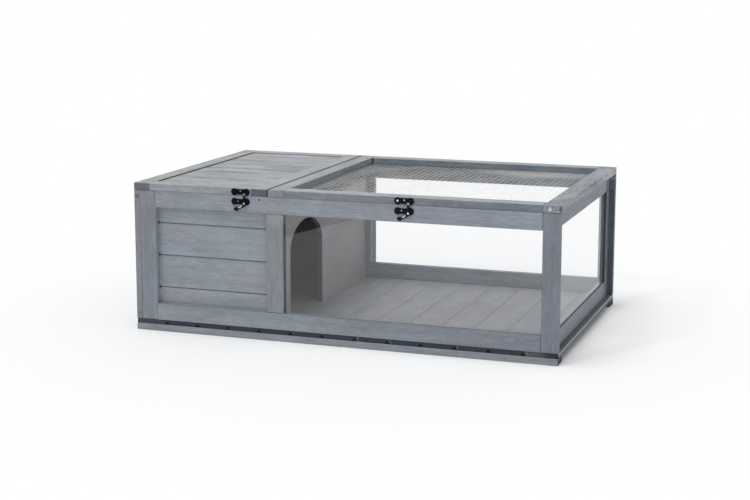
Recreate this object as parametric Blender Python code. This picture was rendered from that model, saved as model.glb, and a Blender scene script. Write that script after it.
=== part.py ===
"""Tortoise house: a boarded timber box on two runners.

A divider with an arched doorway parts a closed sleeping end from a run with clear windows.
A boarded lid covers the sleeping end and a wire lid covers the run. Both are hinged along the
back and each has a turning hook latch at the front.
Metres, +Z up. X runs along the house, the latches face -Y, and Z is 0 under the runners.
"""

import math

import bmesh
import bpy
from mathutils import Matrix, Vector

# Body of the house
LENGTH = 0.940
DEPTH = 0.592
FRAME_HEIGHT = 0.284
LID_SPLIT = 0.3133
FIT = 0.0003
OVERRUN = 0.002

# Runners and floor
RUNNER_HEIGHT = 0.014
RUNNER_WIDTH = 0.036
FLOOR_THICKNESS = 0.0105
FLOOR_BOARD_COUNT = 13
FLOOR_SETBACK = 0.003

# Frame timber
TIMBER_WIDTH = 0.036
TIMBER_THICKNESS = 0.0135
TIMBER_EASE = 0.0007
MIDDLE_POST_WIDTH = 0.039
MIDDLE_POST_LAP = 0.0033
SIDE_INSET = 0.0125

# Tongued boards
BOARD_THICKNESS = 0.010
WALL_BOARD_COUNT = 4
TONGUE_THICKNESS = 0.003
BOARD_GAP = 0.0005
WALL_CHAMFER = 0.0016
LID_CHAMFER = 0.0011
FLOOR_CHAMFER = 0.0026

# Clear windows, held in slots in the timber around them
SHEET_THICKNESS = 0.002
SHEET_FROM_FACE = 0.003
SHEET_SLOT = 0.005

# Divider with its doorway
DIVIDER_THICKNESS = 0.0095
DIVIDER_OFF_CENTRE = 0.0025
DOORWAY_WIDTH = 0.191
DOORWAY_FROM_FRONT = 0.090
DOORWAY_SPRING = 0.150
DOORWAY_RISE = 0.061
DOORWAY_STEPS = 20

# Lids
LID_THICKNESS = 0.0155
LID_TIMBER_WIDTH = 0.0365
LID_SEAT = 0.0005
LID_GAP = 0.0015
LID_PANEL_THICKNESS = 0.009
LID_PANEL_DROP = 0.002
LID_PANEL_SLOT = 0.005
LID_FIRST_BOARD = 0.0335
LID_BOARD_PITCH = 0.073
LEAST_BOARD_SHARE = 0.1

# Wire mesh under the run's lid
WIRE_THICKNESS = 0.0012
MESH_REBATE_WIDTH = 0.010
MESH_REBATE_DEPTH = 0.0022
MESH_GAPS_ALONG = 17
MESH_GAPS_ACROSS = 16

# Butt hinges
HINGE_LENGTH = 0.038
LEAF_THICKNESS = 0.0012
LEAF_HEIGHT = 0.0125
LEAF_MARGIN = 0.0018
KNUCKLE_RADIUS = 0.0024
KNUCKLE_GAP = 0.0004
KNUCKLE_COUNT = 3
KNUCKLE_SIDES = 14
PIN_RADIUS = 0.0011
PIN_HEAD_RADIUS = 0.0018
PIN_HEAD = 0.0008
HOUSE_HINGE_SHARES = (0.24, 0.76)
MESH_HINGE_SHARES = (0.18, 0.82)
LEAF_SCREW_SHARES = (-0.33, 0.33)

# Hook latches
HOUSE_LATCH_FROM_SPLIT = 0.0613
MESH_LATCH_FROM_SPLIT = 0.3022
LATCH_PLATE_LENGTH = 0.043
LATCH_LOBE_RADIUS = 0.0077
LATCH_WAIST = 0.0059
LATCH_PLATE_THICKNESS = 0.0012
LATCH_DROP = 0.0126
LOBE_STEPS = 9
PIVOT_ASIDE = 0.0098
PIVOT_BELOW = 0.0042
RIVET_RADIUS = 0.0016
RIVET_BOSS_RADIUS = 0.0026
RIVET_BOSS = 0.0016
RIVET_HEAD_RADIUS = 0.0032
RIVET_HEAD = 0.0014
RIVET_DOME_SHARES = (0.8, 0.7)
RIVET_SIDES = 12
STUD_RADIUS = 0.0015
STUD_HEAD_RADIUS = 0.0025
STUD_HEAD = 0.0010
STUD_PLAY = 0.0006
STUD_BELOW = 0.0036
LEVER_THICKNESS = 0.0022
LEVER_WIDTH = 0.0054
LEVER_RISE = 0.0225
LEVER_REACH = 0.0180
LEVER_DROP = 0.0112
LEVER_STEPS = 3
KNOB_LENGTH = 0.0120
KNOB_HEIGHT = 0.0088
KNOB_THICKNESS = 0.0044
KNOB_SIDES = 12
KNOB_RINGS = 6

# The lever's middle line from tip to pivot: aside, up, half its width
LEVER_ARM_SHARES = (
    (0.06, 1.0, 0.30), (0.055, 0.85, 0.38), (0.0, 0.62, 0.38), (-0.03, 0.38, 0.40), (0.0, 0.14, 0.52),
)
# From the pivot to the knob: aside, down, half its width
LEVER_TAIL_SHARES = (
    (-0.02, 0.16, 0.56), (-0.18, 0.42, 0.47), (-0.44, 0.68, 0.39), (-0.70, 0.87, 0.36), (-0.95, 1.0, 0.40),
)

# Dome headed screws in the hinges and latches
DOME_SCREW_HEAD_RADIUS = 0.0024
DOME_SCREW_HEAD = 0.0010
DOME_SCREW_SHANK_RADIUS = 0.0010
DOME_SCREW_LENGTH = 0.008
DOME_SCREW_POINT = 0.002
DOME_SHARES = (0.7, 0.7)
SCREW_SIDES = 8
SMOOTH_DEGREES = 35

# Everything below follows from the sizes above
PLATE_FRONT = FIT + LATCH_PLATE_THICKNESS
BOSS_BACK = PLATE_FRONT + FIT
BOSS_FRONT = BOSS_BACK + RIVET_BOSS
LEVER_BACK = BOSS_FRONT + FIT
LEVER_FRONT = LEVER_BACK + LEVER_THICKNESS
RIVET_HEAD_BACK = LEVER_FRONT + FIT
LATCH_REACH = RIVET_HEAD_BACK + RIVET_HEAD
HINGE_REACH = FIT + 2 * KNUCKLE_RADIUS

LEFT = -LENGTH / 2
RIGHT = LENGTH / 2
FRONT = LATCH_REACH - (LATCH_REACH + DEPTH + HINGE_REACH) / 2
BACK = FRONT + DEPTH

FLOOR_BOTTOM = RUNNER_HEIGHT + FIT
FLOOR_TOP = FLOOR_BOTTOM + FLOOR_THICKNESS
FRAME_BOTTOM = FLOOR_TOP + FIT
FRAME_TOP = FRAME_BOTTOM + FRAME_HEIGHT
LID_BOTTOM = FRAME_TOP + LID_SEAT
LID_TOP = LID_BOTTOM + LID_THICKNESS

FRONT_FRAME_BACK = FRONT + TIMBER_THICKNESS
REAR_FRAME_FRONT = BACK - TIMBER_THICKNESS
LEFT_FRAME_INSIDE = LEFT + TIMBER_THICKNESS
FRAME_LEFT = LEFT_FRAME_INSIDE + FIT
RAIL_LEFT = FRAME_LEFT + TIMBER_WIDTH + FIT
RAIL_RIGHT = RIGHT - TIMBER_WIDTH - FIT
OPENING_LOW = FRAME_BOTTOM + TIMBER_WIDTH
OPENING_HIGH = FRAME_TOP - TIMBER_WIDTH
SPLIT = LEFT + LID_SPLIT
MIDDLE_POST_LEFT = SPLIT - MIDDLE_POST_LAP
MIDDLE_POST_RIGHT = MIDDLE_POST_LEFT + MIDDLE_POST_WIDTH
SIDE_OUTSIDE = RIGHT - SIDE_INSET
SIDE_INSIDE = SIDE_OUTSIDE - TIMBER_THICKNESS
DIVIDER_RIGHT = (MIDDLE_POST_LEFT + MIDDLE_POST_RIGHT) / 2 - DIVIDER_OFF_CENTRE
DIVIDER_LEFT = DIVIDER_RIGHT - DIVIDER_THICKNESS
FRONT_BOARDS_BACK = FRONT_FRAME_BACK + FIT + BOARD_THICKNESS
REAR_BOARDS_FRONT = REAR_FRAME_FRONT - FIT - BOARD_THICKNESS

HINGE_Y = BACK + FIT + KNUCKLE_RADIUS
HINGE_Z = (FRAME_TOP + LID_BOTTOM) / 2
KNUCKLE_CLEAR = KNUCKLE_RADIUS + KNUCKLE_GAP
BORE_RADIUS = PIN_RADIUS + FIT
LID_LEAF_HEIGHT = LID_TOP - LEAF_MARGIN - HINGE_Z

LATCH_BASE_Z = FRAME_TOP - LATCH_DROP
KEEPER_Z = (LID_BOTTOM + LID_TOP) / 2
PIVOT_Z = LATCH_BASE_Z - PIVOT_BELOW
STUD_ASIDE = PIVOT_ASIDE + LEVER_ARM_SHARES[0][0] * LEVER_RISE - LEVER_ARM_SHARES[0][2] * LEVER_WIDTH \
    - STUD_PLAY - STUD_RADIUS
STUD_Z = KEEPER_Z - STUD_BELOW
LOBE_ASIDE = LATCH_PLATE_LENGTH / 2 - LATCH_LOBE_RADIUS

# Paint, metal and plastic: colour, roughness, metallic value, alpha
FINISHES = {
    "front_timber": ((0.224, 0.259, 0.296), 0.72, 0.0, 1.0),
    "side_timber": ((0.180, 0.208, 0.242), 0.74, 0.0, 1.0),
    "top_timber": ((0.352, 0.366, 0.384), 0.70, 0.0, 1.0),
    "boards": ((0.240, 0.274, 0.310), 0.74, 0.0, 1.0),
    "floor_timber": ((0.276, 0.288, 0.306), 0.76, 0.0, 1.0),
    "runner_timber": ((0.150, 0.176, 0.208), 0.78, 0.0, 1.0),
    "divider_wood": ((0.238, 0.236, 0.244), 0.78, 0.0, 1.0),
    "clear_sheet": ((0.930, 0.950, 0.955), 0.06, 0.0, 0.18),
    "wire": ((0.500, 0.510, 0.520), 0.42, 0.9, 1.0),
    "black_metal": ((0.018, 0.019, 0.022), 0.38, 0.6, 1.0),
    "hinge_metal": ((0.560, 0.560, 0.540), 0.36, 1.0, 1.0),
}


def clear_scene():
    """Remove every object, so that only the house is in the file."""
    for thing in list(bpy.data.objects):
        bpy.data.objects.remove(thing, do_unlink=True)


def finish(name):
    """The material called name, made on first use."""
    made = bpy.data.materials.get(name)
    if made is None:
        colour, roughness, metallic, alpha = FINISHES[name]
        made = bpy.data.materials.new(name)
        made.use_nodes = True
        shader = made.node_tree.nodes["Principled BSDF"]
        shader.inputs["Base Color"].default_value = (*colour, 1.0)
        shader.inputs["Roughness"].default_value = roughness
        shader.inputs["Metallic"].default_value = metallic
        shader.inputs["Alpha"].default_value = alpha
    return made


def block(low, high):
    """A plain box as points and faces."""
    xs, ys, zs = zip(low, high)
    points = [Vector((x, y, z)) for z in zs for y in ys for x in xs]
    faces = [(0, 2, 3, 1), (4, 5, 7, 6), (0, 1, 5, 4), (1, 3, 7, 5), (3, 2, 6, 7), (2, 0, 4, 6)]
    return points, faces


def prism(outline, low, high):
    """An outline in X and Y carried along Z from low to high."""
    count = len(outline)
    points = [Vector((x, y, z)) for z in (low, high) for x, y in outline]
    walls = [(i, (i + 1) % count, count + (i + 1) % count, count + i) for i in range(count)]
    return points, walls + [tuple(range(count))[::-1], tuple(range(count, 2 * count))]


def turned(profile, sides):
    """A solid turned about Z. The profile's radius and height pairs run between two points on the axis."""
    rings = profile[1:-1]
    points = [Vector((0, 0, profile[0][1]))]
    for radius, height in rings:
        for step in range(sides):
            angle = 2 * math.pi * step / sides
            points.append(Vector((radius * math.cos(angle), radius * math.sin(angle), height)))
    points.append(Vector((0, 0, profile[-1][1])))
    last = len(points) - 1
    faces = []
    for step in range(sides):
        after = (step + 1) % sides
        faces.append((0, 1 + step, 1 + after))
        faces.append((last, last - sides + after, last - sides + step))
        for ring in range(len(rings) - 1):
            upper = 1 + ring * sides
            lower = upper + sides
            faces.append((upper + step, lower + step, lower + after, upper + after))
    return points, faces


def placed(shape, matrix):
    """The shape carried by a matrix."""
    points, faces = shape
    return [matrix @ point for point in points], faces


def joined(shapes):
    """Several shapes as one list of points and faces."""
    points, faces = [], []
    for more_points, more_faces in shapes:
        start = len(points)
        points += more_points
        faces += [tuple(start + i for i in face) for face in more_faces]
    return points, faces


def axes(origin, across, up, along):
    """The matrix that carries X, Y and Z to three directions at an origin."""
    matrix = Matrix((across, up, along)).transposed().to_4x4()
    matrix.translation = origin
    return matrix


def aimed(point, outward):
    """The matrix that carries +Z to an outward direction at a point."""
    matrix = Vector(outward).to_track_quat("Z", "Y").to_matrix().to_4x4()
    matrix.translation = point
    return matrix


def add_piece(name, shape, material, origin=None, smooth=False):
    """One named object with its origin at its middle, or at the given point."""
    points, faces = shape
    if origin is None:
        lows = [min(point[i] for point in points) for i in range(3)]
        highs = [max(point[i] for point in points) for i in range(3)]
        origin = [(low + high) / 2 for low, high in zip(lows, highs)]
    origin = Vector(origin)
    form = bmesh.new()
    corners = [form.verts.new(point - origin) for point in points]
    for face in faces:
        form.faces.new([corners[i] for i in face])
    bmesh.ops.recalc_face_normals(form, faces=form.faces)
    mesh = bpy.data.meshes.new(name)
    form.to_mesh(mesh)
    form.free()
    if smooth:
        mesh.shade_smooth()
        mesh.set_sharp_from_angle(angle=math.radians(SMOOTH_DEGREES))
    piece = bpy.data.objects.new(name, mesh)
    piece.location = origin
    bpy.context.scene.collection.objects.link(piece)
    if material:
        mesh.materials.append(finish(material))
    return piece


def add_bar(name, low, high, material):
    """A length of sawn timber with eased edges."""
    bar = add_piece(name, block(low, high), material)
    ease = bar.modifiers.new("eased_edges", "BEVEL")
    ease.width = TIMBER_EASE
    ease.segments = 1
    ease.limit_method = "NONE"
    return bar


def add_cutter(name, shape):
    """A hidden shape that is only cut out of others."""
    cutter = add_piece(name, shape, None)
    cutter.hide_render = True
    cutter.display_type = "WIRE"
    return cutter


def combine(piece, other, operation):
    """Cut another object out of a piece, or join it on."""
    change = piece.modifiers.new(other.name, "BOOLEAN")
    change.operation = operation
    change.solver = "EXACT"
    change.object = other


def cut(cutter, pieces):
    """Cut one cutter out of several pieces."""
    for piece in pieces:
        combine(piece, cutter, "DIFFERENCE")


def add_axis(name, point):
    """An empty on a joint's axis."""
    axis = bpy.data.objects.new(name, None)
    axis.location = point
    axis.empty_display_size = LID_THICKNESS
    bpy.context.scene.collection.objects.link(axis)
    return axis


def hang(axis, pieces):
    """Parent pieces to an empty and leave them where they are."""
    for piece in pieces:
        piece.parent = axis
        piece.location -= axis.location


def board_edges(start, end, first, pitch):
    """Where the joints between boards lie, from one edge of a panel to the other."""
    edges = [start]
    joint = start + first
    while joint < end - pitch * LEAST_BOARD_SHARE:
        edges.append(joint)
        joint += pitch
    return edges + [end]


def panel_outline(edges, thickness, chamfer):
    """Section of boards glued at their tongues: faces at zero, backs below, open joints on both."""
    slot = (thickness - TONGUE_THICKNESS) / 2
    half = BOARD_GAP / 2
    face, back = [(edges[0], 0.0)], [(edges[-1], -thickness)]
    for joint in edges[1:-1]:
        face += [(joint - half - chamfer, 0.0), (joint - half, -chamfer), (joint - half, -slot)]
        face += [(joint + half, -slot), (joint + half, -chamfer), (joint + half + chamfer, 0.0)]
    face.append((edges[-1], 0.0))
    for joint in reversed(edges[1:-1]):
        back += [(joint + half, -thickness), (joint + half, slot - thickness)]
        back += [(joint - half, slot - thickness), (joint - half, -thickness)]
    back.append((edges[0], -thickness))
    return face + back


def add_boards(name, section, length, origin, directions, material):
    """A panel of tongued boards. Directions are across the boards, out of their face and along them.

    The section is where the boards' edges lie, their thickness and the chamfer at each joint.
    """
    panel = prism(panel_outline(*section), 0.0, length)
    return add_piece(name, placed(panel, axes(origin, *directions)), material)


def add_base():
    """Two runners, and the floor boards that lie across them."""
    for name, near in (("front_runner", FRONT), ("rear_runner", BACK - RUNNER_WIDTH)):
        add_bar(name, (LEFT, near, 0.0), (RIGHT, near + RUNNER_WIDTH, RUNNER_HEIGHT), "runner_timber")
    pitch = LENGTH / FLOOR_BOARD_COUNT
    edges = [pitch * step for step in range(FLOOR_BOARD_COUNT + 1)]
    add_boards("floor_boards", (edges, FLOOR_THICKNESS, FLOOR_CHAMFER), DEPTH - 2 * FLOOR_SETBACK,
               (LEFT, FRONT + FLOOR_SETBACK, FLOOR_BOTTOM),
               ((1, 0, 0), (0, 0, -1), (0, 1, 0)), "floor_timber")


def add_long_frame(side, near, far, top_is_long):
    """The front or rear frame: three posts and two rails in one plane."""
    def bar(part, left, right, low, high, material):
        return add_bar(f"{side}_{part}", (left, near, low), (right, far, high), material)

    post_top = OPENING_HIGH - FIT if top_is_long else FRAME_TOP
    rail_left = FRAME_LEFT if top_is_long else RAIL_LEFT
    rail_right = RIGHT if top_is_long else RAIL_RIGHT
    middle_low, middle_high = OPENING_LOW + FIT, OPENING_HIGH - FIT
    return {
        "left_post": bar("left_post", FRAME_LEFT, FRAME_LEFT + TIMBER_WIDTH,
                         FRAME_BOTTOM, post_top, "side_timber"),
        "right_post": bar("right_post", RIGHT - TIMBER_WIDTH, RIGHT, FRAME_BOTTOM, post_top, "side_timber"),
        "middle_post": bar("middle_post", MIDDLE_POST_LEFT, MIDDLE_POST_RIGHT,
                           middle_low, middle_high, "front_timber"),
        "top_rail": bar("top_rail", rail_left, rail_right, OPENING_HIGH, FRAME_TOP, "front_timber"),
        "bottom_rail": bar("bottom_rail", RAIL_LEFT, RAIL_RIGHT, FRAME_BOTTOM, OPENING_LOW, "front_timber"),
    }


def add_side_frame(side, left, right, near, far):
    """A side frame: two stiles and two rails in one plane."""
    def bar(part, front, back, low, high):
        return add_bar(f"{side}_{part}", (left, front, low), (right, back, high), "side_timber")

    rail_near = near + TIMBER_WIDTH + FIT
    rail_far = far - TIMBER_WIDTH - FIT
    return {
        "front_stile": bar("front_stile", near, near + TIMBER_WIDTH, FRAME_BOTTOM, FRAME_TOP),
        "rear_stile": bar("rear_stile", far - TIMBER_WIDTH, far, FRAME_BOTTOM, FRAME_TOP),
        "top_rail": bar("top_rail", rail_near, rail_far, OPENING_HIGH, FRAME_TOP),
        "bottom_rail": bar("bottom_rail", rail_near, rail_far, FRAME_BOTTOM, OPENING_LOW),
    }


def add_window(name, low, high, bars):
    """A clear sheet between two corners of an opening, in slots cut in the bars around it."""
    thin = min(range(3), key=lambda i: high[i] - low[i])
    slot_low = [value - (FIT if i == thin else SHEET_SLOT) for i, value in enumerate(low)]
    slot_high = [value + (FIT if i == thin else SHEET_SLOT) for i, value in enumerate(high)]
    slot = add_cutter(f"{name}_slot", block(slot_low, slot_high))
    cut(slot, bars)
    sheet_low = [value + FIT for value in slot_low]
    sheet_high = [value - FIT for value in slot_high]
    add_piece(name, block(sheet_low, sheet_high), "clear_sheet")


def add_walls():
    """The four frames, the boards behind the sleeping end and the windows round the run."""
    front = add_long_frame("front", FRONT, FRONT_FRAME_BACK, False)
    rear = add_long_frame("rear", REAR_FRAME_FRONT, BACK, True)
    add_side_frame("left", LEFT, LEFT_FRAME_INSIDE, FRONT, BACK)
    right = add_side_frame("right", SIDE_INSIDE, SIDE_OUTSIDE,
                           FRONT_FRAME_BACK + FIT, REAR_FRAME_FRONT - FIT)

    pitch = FRAME_HEIGHT / WALL_BOARD_COUNT
    edges = [pitch * step for step in range(WALL_BOARD_COUNT + 1)]
    section = (edges, BOARD_THICKNESS, WALL_CHAMFER)
    length = DIVIDER_LEFT - FIT - FRAME_LEFT
    add_boards("front_boards", section, length, (FRAME_LEFT, FRONT_FRAME_BACK + FIT, FRAME_BOTTOM),
               ((0, 0, 1), (0, -1, 0), (1, 0, 0)), "boards")
    add_boards("rear_boards", section, length, (FRAME_LEFT, REAR_FRAME_FRONT - FIT, FRAME_BOTTOM),
               ((0, 0, 1), (0, 1, 0), (1, 0, 0)), "boards")
    add_boards("left_boards", section, REAR_BOARDS_FRONT - FRONT_BOARDS_BACK - 2 * FIT,
               (FRAME_LEFT, FRONT_BOARDS_BACK + FIT, FRAME_BOTTOM),
               ((0, 0, 1), (-1, 0, 0), (0, 1, 0)), "boards")

    sheet_back = SHEET_FROM_FACE + SHEET_THICKNESS
    for name, frame, face, inward in (("front_window", front, FRONT, 1), ("rear_window", rear, BACK, -1)):
        planes = sorted((face + inward * SHEET_FROM_FACE, face + inward * sheet_back))
        bars = [frame[part] for part in ("middle_post", "right_post", "top_rail", "bottom_rail")]
        add_window(name, (MIDDLE_POST_RIGHT, planes[0], OPENING_LOW),
                   (RIGHT - TIMBER_WIDTH, planes[1], OPENING_HIGH), bars)
    window_right = SIDE_OUTSIDE - SHEET_FROM_FACE
    add_window("right_window",
               (window_right - SHEET_THICKNESS, FRONT_FRAME_BACK + FIT + TIMBER_WIDTH, OPENING_LOW),
               (window_right, REAR_FRAME_FRONT - FIT - TIMBER_WIDTH, OPENING_HIGH), list(right.values()))
    return front["top_rail"], rear["top_rail"]


def add_divider():
    """The inner wall with its arched doorway, and the two upright cleats that carry it."""
    near = FRONT_FRAME_BACK + FIT
    far = REAR_FRAME_FRONT - FIT
    door_near = FRONT + DOORWAY_FROM_FRONT
    door_far = door_near + DOORWAY_WIDTH
    middle = (door_near + door_far) / 2
    spring = FRAME_BOTTOM + DOORWAY_SPRING
    outline = [(near, FRAME_BOTTOM), (door_near, FRAME_BOTTOM)]
    for step in range(DOORWAY_STEPS + 1):
        angle = math.pi * (1 - step / DOORWAY_STEPS)
        outline.append((middle + DOORWAY_WIDTH / 2 * math.cos(angle),
                        spring + DOORWAY_RISE * math.sin(angle)))
    outline += [(door_far, FRAME_BOTTOM), (far, FRAME_BOTTOM), (far, FRAME_TOP), (near, FRAME_TOP)]
    wall = placed(prism(outline, 0.0, DIVIDER_THICKNESS),
                  axes((DIVIDER_LEFT, 0.0, 0.0), (0, 1, 0), (0, 0, 1), (1, 0, 0)))
    add_piece("divider", wall, "divider_wood")

    right = DIVIDER_LEFT - FIT
    left = right - TIMBER_WIDTH
    rear_cleat_front = REAR_BOARDS_FRONT - FIT - TIMBER_THICKNESS
    for name, y in (("front_cleat", FRONT_BOARDS_BACK + FIT), ("rear_cleat", rear_cleat_front)):
        add_bar(name, (left, y, FRAME_BOTTOM), (right, y + TIMBER_THICKNESS, FRAME_TOP), "divider_wood")


def add_lid_frame(name, left, right):
    """A lid's frame: two stiles of full depth with two rails between them."""
    rail_left = left + LID_TIMBER_WIDTH + FIT
    rail_right = right - LID_TIMBER_WIDTH - FIT

    def bar(part, west, east, near, far):
        return add_bar(f"{name}_{part}", (west, near, LID_BOTTOM), (east, far, LID_TOP), "top_timber")

    return {
        "left_stile": bar("left_stile", left, left + LID_TIMBER_WIDTH, FRONT, BACK),
        "right_stile": bar("right_stile", right - LID_TIMBER_WIDTH, right, FRONT, BACK),
        "front_rail": bar("front_rail", rail_left, rail_right, FRONT, FRONT + LID_TIMBER_WIDTH),
        "rear_rail": bar("rear_rail", rail_left, rail_right, BACK - LID_TIMBER_WIDTH, BACK),
    }


def add_house_lid():
    """The boarded lid of the sleeping end."""
    left = LEFT
    right = SPLIT - LID_GAP / 2
    bars = add_lid_frame("house_lid", left, right)
    reach = LID_TIMBER_WIDTH - LID_PANEL_SLOT
    panel_top = LID_TOP - LID_PANEL_DROP
    low = (left + reach, FRONT + reach, panel_top - LID_PANEL_THICKNESS)
    high = (right - reach, BACK - reach, panel_top)
    slot = add_cutter("house_lid_slot",
                      block([value - FIT for value in low], [value + FIT for value in high]))
    cut(slot, bars.values())
    edges = board_edges(0.0, high[1] - low[1], LID_FIRST_BOARD, LID_BOARD_PITCH)
    boards = add_boards("house_lid_boards", (edges, LID_PANEL_THICKNESS, LID_CHAMFER), high[0] - low[0],
                        (low[0], low[1], panel_top), ((0, 1, 0), (0, 0, 1), (1, 0, 0)), "top_timber")
    return bars, boards


def wire_grid(low, high, along, across):
    """A flat grid of square wires as one closed body."""
    def wire_pairs(start, end, gaps):
        pitch = (end - start - WIRE_THICKNESS) / gaps
        starts = [start + pitch * step for step in range(gaps + 1)]
        return [value for first in starts for value in (first, first + WIRE_THICKNESS)]

    xs = wire_pairs(low[0], high[0], along)
    ys = wire_pairs(low[1], high[1], across)
    columns, rows = len(xs), len(ys)
    points = [Vector((x, y, z)) for z in (low[2], high[2]) for y in ys for x in xs]
    layer = columns * rows

    def filled(i, j):
        inside = 0 <= i < columns - 1 and 0 <= j < rows - 1
        return inside and (i % 2 == 0 or j % 2 == 0)

    faces = []
    for j in range(rows - 1):
        for i in range(columns - 1):
            if not filled(i, j):
                continue
            first = j * columns + i
            corners = [first, first + 1, first + columns + 1, first + columns]
            faces.append(tuple(corner + layer for corner in corners))
            faces.append(tuple(reversed(corners)))
            for side, (di, dj) in enumerate(((0, -1), (1, 0), (0, 1), (-1, 0))):
                if not filled(i + di, j + dj):
                    start, end = corners[side], corners[(side + 1) % 4]
                    faces.append((start, end, end + layer, start + layer))
    return points, faces


def add_mesh_lid():
    """The lid of the run: an open frame with wire mesh in a rebate under it."""
    left = SPLIT + LID_GAP / 2
    right = RIGHT
    bars = add_lid_frame("mesh_lid", left, right)
    reach = LID_TIMBER_WIDTH - MESH_REBATE_WIDTH
    roof = LID_BOTTOM + MESH_REBATE_DEPTH
    low = Vector((left + reach, FRONT + reach, LID_BOTTOM - OVERRUN))
    high = Vector((right - reach, BACK - reach, roof))
    rebate = add_cutter("mesh_lid_rebate", block(low, high))
    cut(rebate, bars.values())
    wire_low = (low[0] + FIT, low[1] + FIT, roof - FIT - WIRE_THICKNESS)
    wire_high = (high[0] - FIT, high[1] - FIT, roof - FIT)
    grid = wire_grid(wire_low, wire_high, MESH_GAPS_ALONG, MESH_GAPS_ACROSS)
    wires = add_piece("wire_mesh", grid, "wire")
    return bars, wires


def add_leaf(name, middle, upward, own_knuckles, height):
    """One leaf: a plate on the back face, and its knuckles round the pin."""
    start = middle - HINGE_LENGTH / 2
    knuckle = (HINGE_LENGTH - (KNUCKLE_COUNT - 1) * KNUCKLE_GAP) / KNUCKLE_COUNT
    near = BACK + FIT
    far = near + LEAF_THICKNESS
    sign = 1 if upward else -1
    plate_heights = sorted((HINGE_Z + sign * KNUCKLE_CLEAR, HINGE_Z + sign * height))
    plate = add_piece(name, block((start, near, plate_heights[0]),
                                  (start + HINGE_LENGTH, far, plate_heights[1])),
                      "hinge_metal", origin=(middle, HINGE_Y, HINGE_Z))
    tab_heights = sorted((HINGE_Z, HINGE_Z + sign * (KNUCKLE_CLEAR + LEAF_THICKNESS)))
    rolls = []
    for index in own_knuckles:
        low = start + index * (knuckle + KNUCKLE_GAP)
        rolls.append(block((low, near, tab_heights[0]), (low + knuckle, far, tab_heights[1])))
        barrel = [(0.0, low), (KNUCKLE_RADIUS, low),
                  (KNUCKLE_RADIUS, low + knuckle), (0.0, low + knuckle)]
        rolls.append(placed(turned(barrel, KNUCKLE_SIDES),
                            axes((0.0, HINGE_Y, HINGE_Z), (0, 1, 0), (0, 0, 1), (1, 0, 0))))
    for number, shape in enumerate(rolls):
        combine(plate, add_cutter(f"{name}_roll_{number}", shape), "UNION")
    bore = [(0.0, start - OVERRUN), (BORE_RADIUS, start - OVERRUN),
            (BORE_RADIUS, start + HINGE_LENGTH + OVERRUN), (0.0, start + HINGE_LENGTH + OVERRUN)]
    about_pin = axes((0.0, HINGE_Y, HINGE_Z), (0, 1, 0), (0, 0, 1), (1, 0, 0))
    hollow = add_cutter(f"{name}_bore", placed(turned(bore, KNUCKLE_SIDES), about_pin))
    combine(plate, hollow, "DIFFERENCE")
    return plate


def hinge_pin(middle):
    """A plain pin with a flat head past each end of the knuckles."""
    end = HINGE_LENGTH / 2 + FIT
    profile = [(0.0, middle - end - PIN_HEAD), (PIN_HEAD_RADIUS, middle - end - PIN_HEAD),
               (PIN_HEAD_RADIUS, middle - end), (PIN_RADIUS, middle - end), (PIN_RADIUS, middle + end),
               (PIN_HEAD_RADIUS, middle + end), (PIN_HEAD_RADIUS, middle + end + PIN_HEAD),
               (0.0, middle + end + PIN_HEAD)]
    return placed(turned(profile, KNUCKLE_SIDES),
                  axes((0.0, HINGE_Y, HINGE_Z), (0, 1, 0), (0, 0, 1), (1, 0, 0)))


def latch_plate_outline():
    """A plate with a round lobe at each end and a straight waist between them."""
    lean = math.asin(LATCH_WAIST / LATCH_LOBE_RADIUS)
    outline = []
    for centre, start in ((LOBE_ASIDE, lean - math.pi), (-LOBE_ASIDE, lean)):
        sweep = 2 * (math.pi - lean)
        for step in range(LOBE_STEPS + 1):
            angle = start + sweep * step / LOBE_STEPS
            outline.append((centre + LATCH_LOBE_RADIUS * math.cos(angle),
                            LATCH_LOBE_RADIUS * math.sin(angle)))
    return outline


def on_front(x, z):
    """The matrix that carries Z to straight out of the front face, with X along it and Y up."""
    return axes((x, FRONT, z), (1, 0, 0), (0, 0, 1), (0, -1, 0))


def smooth_line(points, steps):
    """A Catmull-Rom curve through points, each a tuple of the same length."""
    padded = [points[0]] + list(points) + [points[-1]]
    line = []
    for before, start, end, after in zip(padded, padded[1:], padded[2:], padded[3:]):
        for step in range(steps):
            t = step / steps
            line.append(tuple(
                (2 * b + (c - a) * t + (2 * a - 5 * b + 4 * c - d) * t ** 2
                 + (3 * b - a - 3 * c + d) * t ** 3) / 2
                for a, b, c, d in zip(before, start, end, after)))
    return line + [points[-1]]


def lever_outline():
    """The lever's edge about its pivot: half its width to each side of a bent middle line."""
    spine = [(x * LEVER_RISE, z * LEVER_RISE, half * LEVER_WIDTH) for x, z, half in LEVER_ARM_SHARES]
    spine += [(x * LEVER_REACH, -z * LEVER_DROP, half * LEVER_WIDTH) for x, z, half in LEVER_TAIL_SHARES]
    spine = smooth_line(spine, LEVER_STEPS)
    one_side, other_side = [], []
    for index, (x, z, half) in enumerate(spine):
        ahead = spine[min(index + 1, len(spine) - 1)]
        behind = spine[max(index - 1, 0)]
        run, rise = ahead[0] - behind[0], ahead[1] - behind[1]
        size = math.hypot(run, rise)
        one_side.append((x - half * rise / size, z + half * run / size))
        other_side.append((x + half * rise / size, z - half * run / size))
    return one_side + other_side[::-1]


def knob_shape():
    """The flattened oval thumb piece at the end of the lever, about its own middle."""
    profile = [(0.0, KNOB_THICKNESS / 2)]
    for ring in range(1, KNOB_RINGS):
        angle = math.pi * ring / KNOB_RINGS
        profile.append((KNOB_LENGTH / 2 * math.sin(angle), KNOB_THICKNESS / 2 * math.cos(angle)))
    profile.append((0.0, -KNOB_THICKNESS / 2))
    return placed(turned(profile, KNOB_SIDES), Matrix.Diagonal((1, KNOB_HEIGHT / KNOB_LENGTH, 1, 1)))


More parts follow.
